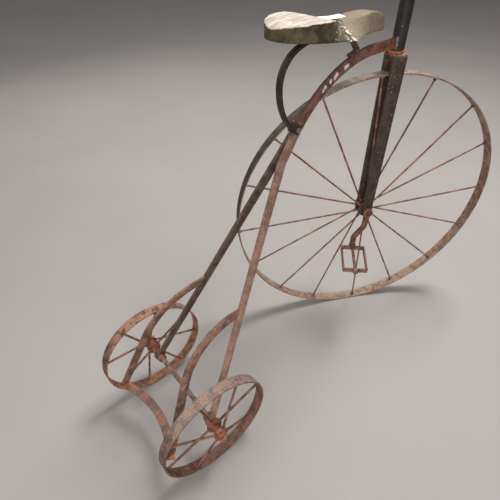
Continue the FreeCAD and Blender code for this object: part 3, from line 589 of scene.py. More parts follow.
@dataclass(frozen=True)
class BoardFinish(Finish):
    """Bleached bare wood on top, grimy olive-brown round the sides."""

    name: str = "bleached_board"
    bare: Tone = Tone(214, 204, 190)
    grain: Tone = Tone(146, 130, 112)
    grime: Tone = Tone(62, 54, 38)
    olive: Tone = Tone(98, 88, 64)
    tan: Tone = Tone(146, 131, 109)
    smudge: Tone = Tone(184, 170, 150)
    paint: Tone = Tone(206, 200, 186)
    nose_x: float = LAYOUT.rear_x + 0.401
    half_width: float = 0.061

    def feeds(self, w: Wiring, kit: Effects, place: Socket, facing: Socket) -> dict[str, object]:
        """Bare top, grimy sides with daubs of paint, and a tan nose."""
        wood = w.group(kit.grain, {"Place": place, "Scale": 24.0})
        top = w.mix(wood.outputs["Lines"], self.grain.linear(), self.bare.linear())
        top = w.shade(w.times(wood.outputs["Cracks"], 0.7), top, CRACK_STAIN)
        blotch = w.ramp(w.noise(place, 34.0, 6.0, 0.7), 0.40, 0.62)
        side = w.mix(blotch, self.grime.linear(), self.olive.linear())
        moved = w.vector("ADD", place, (0.5, 0.2, 0.9))
        spots = w.ramp(w.noise(moved, 75.0, 8.0, 0.75), 0.60, 0.68)
        side = w.mix(w.times(spots, 0.7), side, self.tan.linear())
        mould = w.ramp(w.noise(place, 160.0, 8.0, 0.8), 0.42, 0.60)
        side = w.mix(w.times(mould, 0.6), side, w.shade(1.0, side, MOULD_STAIN))
        x = w.part(place, "X")
        drift = w.wobble(0.012, place, 90.0)
        x = w.plus(x, drift)
        tan = self.tan.linear()
        tan = w.mix(wood.outputs["Lines"], w.shade(1.0, tan, LINE_STAIN), tan)
        tan = w.mix(w.times(blotch, 0.5), tan, self.grain.linear())
        tan = w.mix(w.times(mould, 0.5), tan, w.shade(1.0, tan, NOSE_STAIN))
        tan = w.mix(w.times(spots, 0.55), tan, self.smudge.linear())
        side = w.mix(w.ramp(x, self.nose_x - 0.004, self.nose_x + 0.006), side, tan)
        moved = w.vector("ADD", place, (0.1, 0.6, 0.3))
        daub = w.ramp(w.noise(moved, 95.0, 5.0, 0.65), 0.56, 0.61)
        near = w.times(w.ramp(x, self.nose_x - 0.075, self.nose_x - 0.012), daub)
        near = w.times(near, w.ramp(x, self.nose_x + 0.02, self.nose_x + 0.004))
        side = w.mix(near, side, self.paint.linear())
        strip = w.ramp(x, self.nose_x - 0.006, self.nose_x - 0.003)
        strip = w.times(strip, w.ramp(x, self.nose_x + 0.005, self.nose_x + 0.002))
        strip = w.times(strip, w.ramp(w.noise(place, 130.0, 4.0), 0.44, 0.52))
        side = w.mix(w.times(strip, 0.85), side, self.paint.linear())
        up = w.part(facing, "Z")
        ragged = w.wobble(1.5, place, 80.0, 7.0, 0.75)
        y = w.step("ABSOLUTE", w.part(place, "Y"))
        slant = w.minus(x, w.times(w.minus(self.half_width, y), -0.55))
        front = w.ramp(slant, self.nose_x - 0.006, self.nose_x + 0.004)
        corner = w.ramp(x, self.nose_x - 0.056, self.nose_x - 0.044)
        low = w.plus(0.30, w.step("MAXIMUM", w.times(front, 0.78), w.times(corner, 0.60)))
        ragged = w.times(ragged, w.minus(1.0, w.times(corner, 0.88)))
        high = w.plus(low, w.minus(0.22, w.times(corner, 0.16)))
        cover = w.ramp(w.plus(up, ragged), low, high)
        colour = w.mix(cover, side, top)
        # Faces that look down are darkened to the darkest side tone.
        under = w.ramp(up, -0.3, -0.7)
        colour = w.mix(under, colour, self.grime.linear())
        bump = w.add("ShaderNodeBump", {"Height": wood.outputs["Height"], "Distance": 0.0009})
        rough = w.plus(w.times(wood.outputs["Lines"], 0.18), 0.68)
        return {"Base Color": colour, "Roughness": rough, "Normal": bump.outputs[0], "Specular IOR Level": 0.25}


@dataclass(frozen=True)
class GripFinish(Finish):
    """Dark turned wood, polished by hands."""

    name: str = "grip_wood"
    light: Tone = Tone(104, 70, 48)
    dark: Tone = Tone(58, 36, 26)
    dust: Tone = Tone(140, 122, 106)

    def feeds(self, w: Wiring, kit: Effects, place: Socket, facing: Socket) -> dict[str, object]:
        """Grain along the handlebar, with dust on top."""
        turned = w.add("ShaderNodeMapping", {"Vector": place, "Rotation": (0.0, 0.0, 1.08)})
        wood = w.group(kit.grain, {"Place": turned.outputs[0], "Scale": 50.0})
        colour = w.mix(wood.outputs["Lines"], self.dark.linear(), self.light.linear())
        dust = w.group(kit.dust, {"Place": place, "Facing": facing, "Amount": 0.2})
        colour = w.mix(dust.outputs["Mask"], colour, self.dust.linear())
        bump = w.add("ShaderNodeBump", {"Height": wood.outputs["Height"], "Distance": 0.0003})
        rough = w.plus(w.times(wood.outputs["Lines"], 0.15), 0.38)
        return {"Base Color": colour, "Roughness": rough, "Normal": bump.outputs[0]}


@dataclass(frozen=True)
class PaperFinish(Finish):
    """A blank paper tag, a little grubby."""

    name: str = "blank_paper"
    clean: Tone = Tone(246, 246, 244)
    worn: Tone = Tone(226, 222, 214)

    def feeds(self, w: Wiring, kit: Effects, place: Socket, facing: Socket) -> dict[str, object]:
        """Faint clouds of dirt over fibre."""
        cloud = w.ramp(w.noise(place, 60.0, 5.0), 0.5, 0.8)
        fibre = w.noise(place, 1400.0, 3.0)
        colour = w.mix(cloud, self.clean.linear(), self.worn.linear())
        bump = w.add("ShaderNodeBump", {"Height": fibre, "Distance": 0.0001})
        rough = w.plus(w.times(fibre, 0.2), 0.6)
        return {"Base Color": colour, "Roughness": rough, "Normal": bump.outputs[0]}


def rear_hoop(side: Side, tread: tuple[Tone, Tone, Tone], inner: tuple[Tone, Tone, Tone],
              arc: tuple[Tone, Tone, Tone], flecks: float) -> HoopFinish:
    """The finish of one rear rim.

    Args:
        side: Which wheel.
        tread: Tones of its outside.
        inner: Tones of its inside.
        arc: Tones of painted shade on the part of the tread towards the back.
        flecks: Share of light specks.

    Returns:
        The finish.
    """
    centre = tuple(LAYOUT.rear_centre(side))
    return HoopFinish(
        side.named("rear_rim_rust"), *tread, scale=34.0, share=0.35, pits=0.8, dust=0.3, rub=0.35,
        # The tread's painted shade lies towards the back and the ground.
        flecks=flecks, inner=inner, arc=arc, centre=centre, towards=(-0.9, 0.0, -0.45), relief=0.0009,
    )


class Finishes:
    """Every material of the tricycle, built once."""

    def __init__(self) -> None:
        """Builds the effects and the materials."""
        kit = Effects()
        daubs = (
            (0.398, 0.7215, 0.0048), (0.404, 0.7275, 0.0034), (0.418, 0.7350, 0.0042), (0.429, 0.7405, 0.0050),
            (0.434, 0.7450, 0.0032), (0.457, 0.7535, 0.0044), (0.463, 0.7560, 0.0030))
        brace_tops = [(LAYOUT.rear_x + 0.125, side.value * 0.082, 0.345) for side in Side]
        step_ends = [(LAYOUT.rear_x - 0.1, side.value * 0.112, 0.093) for side in Side]
        crank_eyes = [tuple(LAYOUT.front_centre + LAYOUT.across * side.value * 0.0305) for side in Side]
        looks = (
            IronFinish(
                "dark_iron", Tone(34, 29, 27), Tone(48, 40, 36), Tone(88, 66, 54),
                share=0.12, pits=0.4, dust=0.12, rub=0.35, flecks=0.05, roughness=0.42, relief=0.0005),
            IronFinish(
                "fork_iron", Tone(54, 45, 41), Tone(70, 57, 51), Tone(94, 73, 62),
                spots=(
                    Spot((LAYOUT.head_x, 0.0, 0.757), 0.022, ORANGE, 0.6),
                    Spot((LAYOUT.head_x, 0.0, 0.735), 0.022, RUSSET, 0.2)),
                share=0.10, pits=0.5, dust=0.18, rub=0.3, flecks=0.08, roughness=0.5, relief=0.0005),
            IronFinish(
                "spring_iron", Tone(36, 30, 26), Tone(56, 42, 34), Tone(112, 74, 54),
                share=0.22, pits=0.5, dust=0.10, rub=0.6, rub_tone=Tone(112, 76, 56), roughness=0.45),
            IronFinish(
                "bracket_rust", Tone(62, 46, 40), Tone(96, 68, 56), Tone(136, 90, 70),
                scale=40.0, pits=0.5, dust=0.15),
            # The left stay's rust in darker tones, painted as shade: it is the same iron as the lit right stay.
            IronFinish(
                "left_stay_iron", Tone(66, 53, 45), Tone(92, 76, 66), Tone(132, 104, 88),
                share=0.2, pits=0.5, dust=0.30, rub=0.6, rub_tone=Tone(128, 106, 92), roughness=0.5),
            SpineFinish(
                "spine_rust", Tone(84, 56, 48), Tone(120, 82, 70), Tone(142, 98, 82),
                pits=0.5, dust=0.22, rub=0.45,
                spots=tuple(Spot((LAYOUT.rear_x + x, -0.003, z), r, CHALK) for x, z, r in daubs)),
            IronFinish(
                "brace_rust", Tone(88, 72, 66), Tone(138, 102, 86), Tone(166, 122, 100),
                scale=22.0, share=0.42, pits=0.7, rub=0.4,
                spots=tuple(Spot(place, 0.03, RUSSET, 0.5) for place in brace_tops)),
            IronFinish(
                "step_rust", Tone(104, 86, 74), Tone(140, 98, 80), Tone(166, 110, 84),
                scale=30.0, share=0.35, rub=0.4,
                spots=tuple(Spot(place, 0.016, ORANGE) for place in step_ends)),
            IronFinish(
                "axle_rust", Tone(112, 84, 72), Tone(154, 120, 104), Tone(190, 156, 136),
                scale=45.0, pits=0.7, rub=0.0, flecks=0.15),
            IronFinish(
                "hub_rust", Tone(108, 68, 52), Tone(156, 102, 76), Tone(206, 128, 76),
                scale=50.0, pits=0.9, dust=0.15, rub=0.35, relief=0.0011),
            # Hub rust darkened as painted shade, for the front hub that sits in shade between the fork legs.
            IronFinish(
                "dark_hub_rust", Tone(52, 40, 33), Tone(86, 62, 50), Tone(150, 98, 68),
                scale=50.0, share=0.28, pits=0.8, dust=0.12, rub=0.35, relief=0.0009),
            IronFinish(
                "orange_rust", Tone(130, 74, 46), Tone(184, 104, 56), Tone(214, 134, 66),
                scale=60.0, share=0.4, pits=0.7, dust=0.12, rub=0.3, relief=0.0009),
            IronFinish(
                "spoke_rust", Tone(92, 62, 52), Tone(142, 98, 82), Tone(168, 116, 94),
                scale=24.0, share=0.35, pits=0.5, dust=0.2, rub=0.0),
            IronFinish(
                "crank_rust", Tone(92, 62, 52), Tone(130, 90, 76), Tone(158, 108, 86),
                scale=36.0, dust=0.2,
                spots=tuple(Spot(place, 0.0125, ORANGE) for place in crank_eyes)),
            IronFinish(
                "pedal_iron", Tone(84, 62, 50), Tone(132, 98, 80), Tone(176, 132, 108),
                scale=50.0, share=0.35, dust=0.2, rub=0.7),
            IronFinish(
                "worn_steel", Tone(96, 86, 80), Tone(130, 120, 112), Tone(140, 104, 84),
                scale=60.0, share=0.25, pits=0.5, dust=0.1, rub=0.3, roughness=0.35),
            IronFinish(
                "weld_scale", Tone(70, 66, 66), Tone(128, 124, 122), Tone(176, 172, 168),
                scale=90.0, share=0.35, dust=0.1, rub=0.0, roughness=0.4, relief=0.0006),
            HoopFinish(
                "front_rim_rust", Tone(92, 78, 70), Tone(134, 112, 100), Tone(172, 140, 120),
                scale=30.0, share=0.35, pits=1.0, rub_tone=Tone(150, 118, 98),
                # Painted shade on the big wheel's tread lies on its back side.
                centre=tuple(LAYOUT.front_centre), towards=tuple(-LAYOUT.ahead * 0.95 + Vector((0, 0, 0.1)))),
            # The third tones of each rear rim are painted shade on the back of its tread.
            rear_hoop(
                Side.LEFT, (Tone(76, 58, 50), Tone(152, 108, 86), Tone(178, 126, 96)),
                (Tone(112, 74, 56), Tone(158, 108, 80), Tone(186, 128, 92)),
                (Tone(62, 48, 42), Tone(118, 84, 68), Tone(152, 108, 84)), 0.03),
            rear_hoop(
                Side.RIGHT, (Tone(118, 106, 100), Tone(158, 130, 114), Tone(182, 152, 132)),
                (Tone(92, 64, 54), Tone(126, 88, 72), Tone(154, 108, 86)),
                (Tone(88, 66, 58), Tone(122, 90, 76), Tone(150, 110, 90)), 0.16),
            BoardFinish(),
            GripFinish(),
            PaperFinish(),
        )
        self.materials = {look.name: look.build(kit) for look in looks}

    def dress(self, piece: bpy.types.Object, look: str) -> None:
        """Gives a piece one finish all over."""
        made = self.materials[look]
        if piece.material_slots:
            for place in piece.material_slots:
                place.material = made
        else:
            piece.data.materials.append(made)


# ------------------------------------------------------------------ bench work
class Bench:
    """Shaping steps shared by the sub-assemblies."""

    @staticmethod
    def clear() -> None:
        """Leaves edit mode and deselects everything."""
        if bpy.context.object is not None and bpy.context.object.mode != "OBJECT":
            bpy.ops.object.mode_set(mode="OBJECT")
        bpy.ops.object.select_all(action="DESELECT")

    @staticmethod
    def take(piece: bpy.types.Object) -> None:
        """Makes a piece the only selected one, and active."""
        Bench.clear()
        piece.select_set(True)
        bpy.context.view_layer.objects.active = piece

    @staticmethod
    def edit() -> None:
        """Opens the active piece with everything selected."""
        bpy.ops.object.mode_set(mode="EDIT")
        bpy.ops.mesh.select_all(action="SELECT")

    @staticmethod
    def close() -> None:
        """Goes back to object mode."""
        bpy.ops.object.mode_set(mode="OBJECT")

    @staticmethod
    def smooth(degrees: float) -> None:
        """Shades the active piece smooth wherever it turns by less than an angle."""
        bpy.ops.object.shade_smooth_by_angle(angle=math.radians(degrees))

    @staticmethod
    def modify(piece: bpy.types.Object, kind: str, **settings: object) -> None:
        """Adds a modifier to the active piece and applies it.

        Args:
            piece: The piece.
            kind: The modifier's type.
            **settings: Its attributes.
        """
        made = piece.modifiers.new(kind.lower(), kind)
        for key, value in settings.items():
            setattr(made, key, value)
        bpy.ops.object.modifier_apply(modifier=made.name)

    @staticmethod
    def forge(node: str, edge: Edge = Edge.WORN) -> bpy.types.Object:
        """Copies a carried-over bar and rounds its corners as a smith's file would.

        Args:
            node: The bar's name in the frame.
            edge: How far to round.

        Returns:
            The new piece, which stands for the bar.
        """
        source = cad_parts[node]
        piece = bpy.data.objects.new(f"forged_{node}", source.data.copy())
        bpy.context.scene.collection.objects.link(piece)
        Bench.take(piece)
        if piece.data.has_custom_normals:
            bpy.ops.mesh.customdata_custom_splitnormals_clear()
        Bench.edit()
        bpy.ops.mesh.remove_doubles(threshold=0.000002)
        bpy.ops.mesh.dissolve_limited(angle_limit=math.radians(0.3))
        Bench.close()
        Bench.modify(
            piece, "BEVEL", width=edge.value, segments=2, limit_method="ANGLE",
            angle_limit=math.radians(40.0), use_clamp_overlap=True)
        Bench.smooth(32.0)
        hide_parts(node)
        return piece

    @staticmethod
    def dome(name: str, radius: float, height: float) -> bpy.types.Object:
        """A peened rivet head at the origin that bulges along Z."""
        Bench.clear()
        bpy.ops.mesh.primitive_uv_sphere_add(segments=14, ring_count=10, radius=radius)
        piece = bpy.context.object
        piece.name = name
        Bench.edit()
        bpy.ops.mesh.bisect(plane_co=(0, 0, 0), plane_no=(0, 0, 1), clear_inner=True, use_fill=True)
        bpy.ops.mesh.select_all(action="SELECT")
        bpy.ops.transform.resize(value=(1.0, 1.0, height / radius))
        bpy.ops.mesh.normals_make_consistent(inside=False)
        Bench.close()
        Bench.smooth(40.0)
        return piece

    @staticmethod
    def spread(pattern: bpy.types.Object, name: str, places: list[Matrix]) -> bpy.types.Object:
        """Sets a copy of one small piece at each place and joins them.

        Args:
            pattern: The piece, removed afterwards.
            name: Name of the joined piece.
            places: Where each copy goes.

        Returns:
            The joined piece.
        """
        made = []
        for place in places:
            copy = bpy.data.objects.new(name, pattern.data.copy())
            bpy.context.scene.collection.objects.link(copy)
            copy.data.transform(place)
            made.append(copy)
        Bench.clear()
        for copy in made:
            copy.select_set(True)
        bpy.context.view_layer.objects.active = made[0]
        if len(made) > 1:
            bpy.ops.object.join()
        bpy.data.objects.remove(pattern)
        made[0].name = name
        return made[0]

    @staticmethod
    def lumps(name: str, beads: list[tuple[Vector, float]], cell: float = 0.0007) -> bpy.types.Object:
        """Melts a run of small beads into one lump of weld.

        Args:
            name: Name of the piece.
            beads: Middle and radius of each bead.
            cell: How finely the lump is meshed.

        Returns:
            The lump.
        """
        Bench.clear()
        made = []
        for middle, radius in beads:
            bpy.ops.mesh.primitive_ico_sphere_add(subdivisions=3, radius=radius)
            bead = bpy.context.object
            bead.data.transform(Matrix.Translation(middle))
            made.append(bead)
        for bead in made:
            bead.select_set(True)
        bpy.context.view_layer.objects.active = made[0]
        bpy.ops.object.join()
        piece = bpy.context.object
        piece.name = name
        Bench.modify(piece, "REMESH", mode="VOXEL", voxel_size=cell, use_smooth_shade=True)
        Bench.modify(piece, "SMOOTH", iterations=4)
        return piece

    @staticmethod
    def arc_plate(name: str, centre: Vector, across: Vector, out: Vector, depth: tuple[float, float],
                  half_width: float, sweep: float) -> bpy.types.Object:
        """A short curved plate that lies along a hoop.

        Args:
            name: Name of the piece.
            centre: Middle of the hoop.
            across: The hoop's axis.
            out: From the middle to where the plate starts.
            depth: Its inner and outer radius.
            half_width: Half its width across the hoop.
            sweep: The angle it covers, in degrees.

        Returns:
            The plate.
        """
        Bench.clear()
        bpy.ops.mesh.primitive_plane_add(size=1.0)
        piece = bpy.context.object
        piece.name = name
        Bench.edit()
        bpy.ops.transform.resize(value=(depth[1] - depth[0], 2.0 * half_width, 1.0))
        Bench.close()
        along = out.cross(across)
        turn = Matrix((out, across, along)).transposed().to_4x4()
        middle = centre + out * (depth[0] + depth[1]) / 2
        piece.data.transform(Matrix.Translation(middle) @ turn)
        Bench.edit()
        bpy.ops.mesh.spin(steps=8, angle=math.radians(sweep), center=centre, axis=across)
        bpy.ops.mesh.select_all(action="SELECT")
        bpy.ops.mesh.remove_doubles(threshold=0.00001)
        bpy.ops.mesh.fill_holes(sides=0)
        bpy.ops.mesh.normals_make_consistent(inside=False)
        Bench.close()
        Bench.modify(piece, "BEVEL", width=0.0006, segments=2, limit_method="ANGLE")
        Bench.smooth(35.0)
        return piece


def stood_on(base: Vector, way: Vector) -> Matrix:
    """The place of a piece modelled along Z that stands on a point and looks along a direction."""
    return Matrix.Translation(base) @ way.to_track_quat("Z", "Y").to_matrix().to_4x4()


@dataclass
class SubAssembly:
    """A group of pieces that is built and dressed together."""

    finishes: Finishes
    pieces: list[str] = field(default_factory=list)

    def settle(self, piece: bpy.types.Object, body: str, look: str, slot: str) -> None:
        """Gives a new piece its finish and its body.

        Args:
            piece: The piece.
            body: The body it rides on.
            look: The finish.
            slot: Not used.
        """
        self.finishes.dress(piece, look)
        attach(piece, body)
        self.pieces.append(piece.name)

    def keep(self, node: str, look: str) -> None:
        """Gives a carried-over node its finish."""
        self.finishes.dress(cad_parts[node], look)
        self.pieces.append(node)

    def forged(self, node: str, body: str, look: str, slot: str, edge: Edge = Edge.WORN) -> None:
        """Forges a bar from its carried-over shape and settles it."""
        self.settle(Bench.forge(node, edge), body, look, slot)


@dataclass
class RearFrame(SubAssembly):
    """Backbone, stays, braces, foot step, rear axle and the welds between them."""

    bead: float = 0.0032
    brace_bead: float = 0.0030
    weld_foot: float = 0.7610
    weld_rise: float = 0.0038

    def build(self) -> None:
        """Makes and dresses every piece."""
        self.forged("backbone", "frame", "spine_rust", "red_rust_bar")
        # The left stay's finish is darkened as painted shade.
        self.forged("left_stay", "frame", "left_stay_iron", "brown_bar")
        for side in Side:
            self.forged(side.named("brace"), "frame", "brace_rust", "brown_bar", Edge.SOFT)
        self.forged("rear_step", "frame", "step_rust", "rear_rim_rust", Edge.SOFT)
        self.keep("rear_axle", "axle_rust")
        self.keep("inner_axle_rings", "hub_rust")
        for node in ("linch_pins", "outer_axle_washers"):
            self.keep(node, "orange_rust")
        self.forged("junction_clip", "frame", "dark_iron", "dark_iron", Edge.CRISP)
        self.keep("junction_bolt", "worn_steel")
        self.keep("head_tube", "dark_iron")
        self.head_weld()
        self.brace_welds()

    def head_weld(self) -> None:
        """The lumps of weld where the backbone meets the head tube."""
        chance = random.Random(4)
        beads = []
        for side in Side:
            for k in range(6):
                rise = self.weld_foot + self.weld_rise * k
                reach = 0.0125 + 0.0016 * chance.random()
                spot = Vector((LAYOUT.head_x - reach - 0.0012, side.value * 0.0052, rise))
                beads.append((spot, self.bead * (0.75 + 0.5 * chance.random())))
        self.settle(Bench.lumps("head_weld", beads), "frame", "weld_scale", "worn_steel")

    def brace_welds(self) -> None:
        """The rough lumps where each brace is forge-welded to its stay."""
        chance = random.Random(9)
        for side in Side:
            low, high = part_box(side.named("brace"))
            beads = []
            inner = low.y if abs(low.y) < abs(high.y) else high.y
            for k in range(7):
                spot = Vector((high.x - 0.002 - 0.0045 * k, inner, high.z - 0.002 - 0.0004 * k * k))
                spot.y += side.value * (0.003 + 0.0015 * chance.random())
                beads.append((spot, self.brace_bead * (0.7 + 0.5 * chance.random())))
            self.settle(Bench.lumps(side.named("brace_weld"), beads), "frame", "hub_rust", "orange_rust")


@dataclass
class Saddle(SubAssembly):
    """Wooden saddle board, its spring and bracket, and a blank tag."""

    cell: float = 0.0019
    tag_size: tuple[float, float] = (0.042, 0.024)
    tag_spot: tuple[float, float, float] = (LAYOUT.rear_x + 0.395, -0.006, 0.8442)

    def build(self) -> None:
        """Makes and dresses every piece."""
        self.board()
        self.tag()
        self.forged("saddle_spring", "frame", "spring_iron", "dark_iron")
        self.forged("saddle_bracket", "frame", "bracket_rust", "brown_bar")
        self.keep("saddle_screws", "worn_steel")

    def board(self) -> None:
        """The plank, hand-shaped, with its corners worn round."""
        piece = Bench.forge("saddle_board", Edge.SOFT)
        Bench.take(piece)
        Bench.modify(piece, "REMESH", mode="VOXEL", voxel_size=self.cell)
        Bench.modify(piece, "SMOOTH", iterations=2)
        hollows = bpy.data.textures.new("hollows", "CLOUDS")
        hollows.noise_scale = 0.045
        Bench.modify(piece, "DISPLACE", texture=hollows, strength=0.0016, mid_level=0.6)
        Bench.smooth(50.0)
        self.settle(piece, "frame", "bleached_board", "bleached_board")

    def tag(self) -> None:
        """A blank paper tag that lies on the saddle, its corners lifting."""
        Bench.clear()
        bpy.ops.mesh.primitive_grid_add(x_subdivisions=10, y_subdivisions=8, size=1.0)
        piece = bpy.context.object
        piece.name = "blank_tag"
        Bench.edit()
        bpy.ops.transform.resize(value=(self.tag_size[0], self.tag_size[1], 1.0))
        Bench.close()
        for point in piece.data.vertices:
            across = point.co.x / self.tag_size[0]
            point.co.z = 0.0045 * across * across + 0.0012 * across
        turn = Matrix.Rotation(math.radians(-20.0), 4, "Z")
        piece.data.transform(Matrix.Translation(self.tag_spot) @ turn)
        Bench.take(piece)
        Bench.modify(piece, "SOLIDIFY", thickness=0.0003)
        Bench.smooth(40.0)
        self.settle(piece, "frame", "blank_paper", "bleached_board")


@dataclass
class Steering(SubAssembly):
    """Fork, head fittings and handlebar."""

    def build(self) -> None:
        """Dresses every piece."""
        self.forged("fork", "steering", "fork_iron", "brown_bar", Edge.SOFT)
        self.keep("steerer", "worn_steel")
        for node in ("crown_washer", "head_washer"):
            self.keep(node, "orange_rust")
        self.forged("head_nut", "steering", "dark_iron", "dark_iron")
        self.keep("stem_head", "dark_iron")
        self.keep("handlebar", "fork_iron")
        for side in Side:
            self.keep(side.named("grip"), "grip_wood")


@dataclass(frozen=True)
class WheelPlan:
    """Measures of one wheel, in metres and degrees.

    Attributes:
        prefix: What the names of its pieces start with.
        slot: Slot of its rim.
        centre, ahead, across: Its middle, its forward direction and the line of its axle.
        radius: Outside of its rim.
        spokes, first: How many spokes it has, and where the first one points.
        peen: Radius and height of a spoke's hammered end.
        lap_at, lap_sweep: Where the lap plate starts, and how far it runs.
        lap_depth, lap_half_width: How far it stands in from the rim, and half its width.
        rivets_at, rivet: Where its rivets sit along it, and their radius and height.
        head_sink, rivet_sink, lap_sink: How deep ends, rivets and plate sit in what carries them.
    """

    prefix: str
    slot: str
    centre: Vector
    ahead: Vector
    across: Vector
    radius: float
    spokes: int
    first: float
    peen: tuple[float, float]
    lap_at: float
    lap_sweep: float
    lap_depth: float
    lap_half_width: float
    rivets_at: tuple[float, float]
    rivet: tuple[float, float]
    head_sink: float = 0.0003
    rivet_sink: float = 0.0002
    lap_sink: float = 0.0004


def front_plan() -> WheelPlan:
    """Measures of the big wheel."""
    return WheelPlan(
        "front", "dusty_rim", LAYOUT.front_centre, LAYOUT.ahead, LAYOUT.across, LAYOUT.front_radius,
        spokes=16, first=-3.7, peen=(0.0030, 0.0008), lap_at=97.0, lap_sweep=9.0,
        lap_depth=0.0026, lap_half_width=0.0115, rivets_at=(1.5, 7.5), rivet=(0.0036, 0.0018))


def rear_plan(side: Side, first: float, lap_at: float) -> WheelPlan:
    """Measures of a small wheel.

    Args:
        side: Which one.
        first: Where its first spoke points.
        lap_at: Where its lap plate starts.

    Returns:
        The measures.
    """
    return WheelPlan(
        side.named("rear"), "rear_rim_rust", LAYOUT.rear_centre(side), Vector((1, 0, 0)), Vector((0, 1, 0)),
        LAYOUT.rear_radius, spokes=8, first=first, peen=(0.0036, 0.0009), lap_at=lap_at, lap_sweep=22.0,
        lap_depth=0.0024, lap_half_width=0.0095, rivets_at=(5.0, 17.0), rivet=(0.0038, 0.0020))


@dataclass
class Wheel(SubAssembly):
    """A spoked wheel on a lapped and riveted hoop."""

    plan: WheelPlan = field(kw_only=True)

    @property
    def body(self) -> str:
        """The body the wheel's pieces ride on."""
        return f"{self.plan.prefix}_wheel"

    def build(self) -> None:
        """Makes and dresses every piece."""
        self.rim()
        self.keep(f"{self.plan.prefix}_hub", "hub_rust")
        self.keep(f"{self.plan.prefix}_spokes", "spoke_rust")
        self.closings()

    def rim(self) -> None:
        """The hoop."""
        prefix = self.plan.prefix
        self.forged(f"{prefix}_rim", self.body, f"{prefix}_rim_rust", self.plan.slot, Edge.CRISP)

    def out(self, degrees: float) -> Vector:
        """Direction from the middle of the wheel, degrees forward of straight up."""
        angle = math.radians(degrees)
        return self.plan.ahead * math.sin(angle) + Vector((0, 0, 1)) * math.cos(angle)

    def heads(
        self, name: str, size: tuple[float, float], angles: list[float], reach: float, look: str,
        inward: bool = False,
    ) -> None:
        """Sets domed heads round the hoop.

        Args:
            name: Name of the joined piece, after the wheel's prefix.
            size: Radius and height of a head.
            angles: Where each one sits.
            reach: How far each base is from the middle.
            look: Their finish.
            inward: Whether they look at the middle.
        """
        places = []
        for degrees in angles:
            way = self.out(degrees)
            places.append(stood_on(self.plan.centre + way * reach, -way if inward else way))
        piece = Bench.spread(Bench.dome(name, *size), f"{self.plan.prefix}_{name}", places)
        self.settle(piece, self.body, look, look)

    def closings(self) -> None:
        """The spokes' hammered ends on the tread, and the riveted plate that closes the hoop."""
        plan = self.plan
        angles = [plan.first + k * 360.0 / plan.spokes for k in range(plan.spokes)]
        self.heads("spoke_peens", plan.peen, angles, plan.radius - plan.head_sink, "spoke_rust")
        inner = plan.radius - LAYOUT.rim_wall
        plate = Bench.arc_plate(
            f"{plan.prefix}_lap_plate", plan.centre, plan.across, self.out(plan.lap_at),
            (inner - plan.lap_depth, inner + plan.lap_sink), plan.lap_half_width, plan.lap_sweep)
        self.settle(plate, self.body, f"{plan.prefix}_rim_rust", plan.slot)
        angles = [plan.lap_at + step for step in plan.rivets_at]
        reach = inner - plan.lap_depth + plan.rivet_sink
        self.heads("lap_rivets", plan.rivet, angles, reach, "orange_rust", inward=True)


@dataclass
class FrontWheel(Wheel):
    """The big wheel, with its cranks and pedals."""

    def build(self) -> None:
        """Makes and dresses every piece."""
        self.rim()
        for node in ("front_spokes", "front_spoke_collars"):
            self.keep(node, "spoke_rust")
        # The front hub's rust is darkened as painted shade.
        for node in ("front_hub", "front_axle", "front_hub_collars"):
            self.keep(node, "dark_hub_rust")
        for side in Side:
            self.forged(side.named("crank"), self.body, "crank_rust", "spoke_rust", Edge.SOFT)
            self.keep(side.named("pedal_pin"), "pedal_iron")
            pedal = side.named("pedal")
            self.forged(pedal, pedal, "pedal_iron", "brown_bar", Edge.CRISP)
        self.closings()


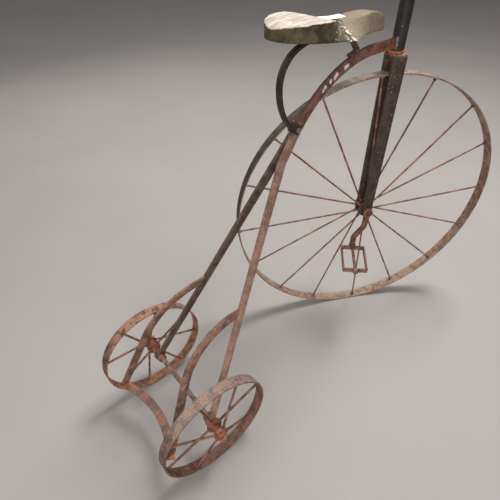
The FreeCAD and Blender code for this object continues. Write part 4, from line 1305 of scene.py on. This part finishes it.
@dataclass
class Studio:
    """Floor, lights and camera."""

    floor_tone: Tone = Tone(162, 156, 152)
    eye: tuple[float, float, float] = (LAYOUT.rear_x - 0.1883, -0.4991, 0.9792)
    yaw: float = 0.889
    pitch: float = 0.710
    roll: float = -0.017
    lens: float = 28.3

    def build(self) -> None:
        """Sets up the studio."""
        self.floor()
        self.lamp("key", (1.3, 0.15, 3.2), 1.0, 112.0)
        self.lamp("fill", (-1.7, -1.7, 1.5), 1.4, 40.0)
        self.lamp("back", (0.2, 2.6, 1.8), 1.6, 16.0)
        world = bpy.data.worlds.new("studio_air")
        world.use_nodes = True
        air = world.node_tree.nodes["Background"].inputs
        air["Color"].default_value = (0.86, 0.85, 0.84, 1.0)
        air["Strength"].default_value = 0.33
        bpy.context.scene.world = world
        bpy.context.scene.view_settings.view_transform = "Standard"
        self.camera()

    def floor(self) -> None:
        """A plain pale floor with a little grain."""
        Bench.clear()
        bpy.ops.mesh.primitive_plane_add(size=40.0)
        piece = bpy.context.object
        piece.name = "studio_floor"
        made, w = new_material("studio_floor")
        place = w.add("ShaderNodeTexCoord").outputs["Object"]
        cloud = w.ramp(w.noise(place, 1.3, 5.0), 0.3, 0.7)
        tone = self.floor_tone.linear()
        darker = tuple(part * 0.93 for part in tone[:3]) + (1.0,)
        surface(w, {"Base Color": w.mix(cloud, darker, tone), "Roughness": 0.75, "Specular IOR Level": 0.2})
        piece.data.materials.append(made)

    def lamp(self, name: str, spot: tuple[float, float, float], size: float, power: float) -> None:
        """A soft square lamp that looks at the tricycle.

        Args:
            name: Its name.
            spot: Where it hangs.
            size: Its side in metres.
            power: Its power in watts.
        """
        data = bpy.data.lights.new(name, "AREA")
        data.shape = "SQUARE"
        data.size = size
        data.energy = power
        lamp = bpy.data.objects.new(name, data)
        lamp.location = spot
        way = Vector((0.0, 0.0, 0.3)) - Vector(spot)
        lamp.rotation_euler = way.to_track_quat("-Z", "Y").to_euler()
        bpy.context.scene.collection.objects.link(lamp)

    def camera(self) -> None:
        """The camera behind, above and to the right of the tricycle."""
        ahead = Vector((
            math.cos(self.pitch) * math.cos(self.yaw), math.cos(self.pitch) * math.sin(self.yaw),
            -math.sin(self.pitch)))
        right = ahead.cross(Vector((0, 0, 1))).normalized()
        above = right.cross(ahead)
        leaned = right * math.cos(self.roll) + above * math.sin(self.roll)
        raised = above * math.cos(self.roll) - right * math.sin(self.roll)
        data = bpy.data.cameras.new("eye")
        data.lens = self.lens
        data.sensor_width = 36.0
        camera = bpy.data.objects.new("eye", data)
        turn = Matrix((leaned, raised, -ahead)).transposed()
        camera.matrix_world = Matrix.Translation(self.eye) @ turn.to_4x4()
        bpy.context.scene.collection.objects.link(camera)
        bpy.context.scene.camera = camera


def main() -> None:
    """Builds each sub-assembly in turn and reports its pieces."""
    logging.basicConfig(level=logging.INFO, format="%(name)s %(message)s")
    finishes = Finishes()
    parts = [
        RearFrame(finishes),
        Saddle(finishes),
        Steering(finishes),
        FrontWheel(finishes, plan=front_plan()),
        Wheel(finishes, plan=rear_plan(Side.LEFT, first=15.5, lap_at=-14.0)),
        Wheel(finishes, plan=rear_plan(Side.RIGHT, first=30.0, lap_at=205.0)),
    ]
    for part in parts:
        part.build()
        for name in part.pieces:
            log.info("%s: %s", type(part).__name__, name)
    Studio().build()


if __name__ == "__main__":
    main()
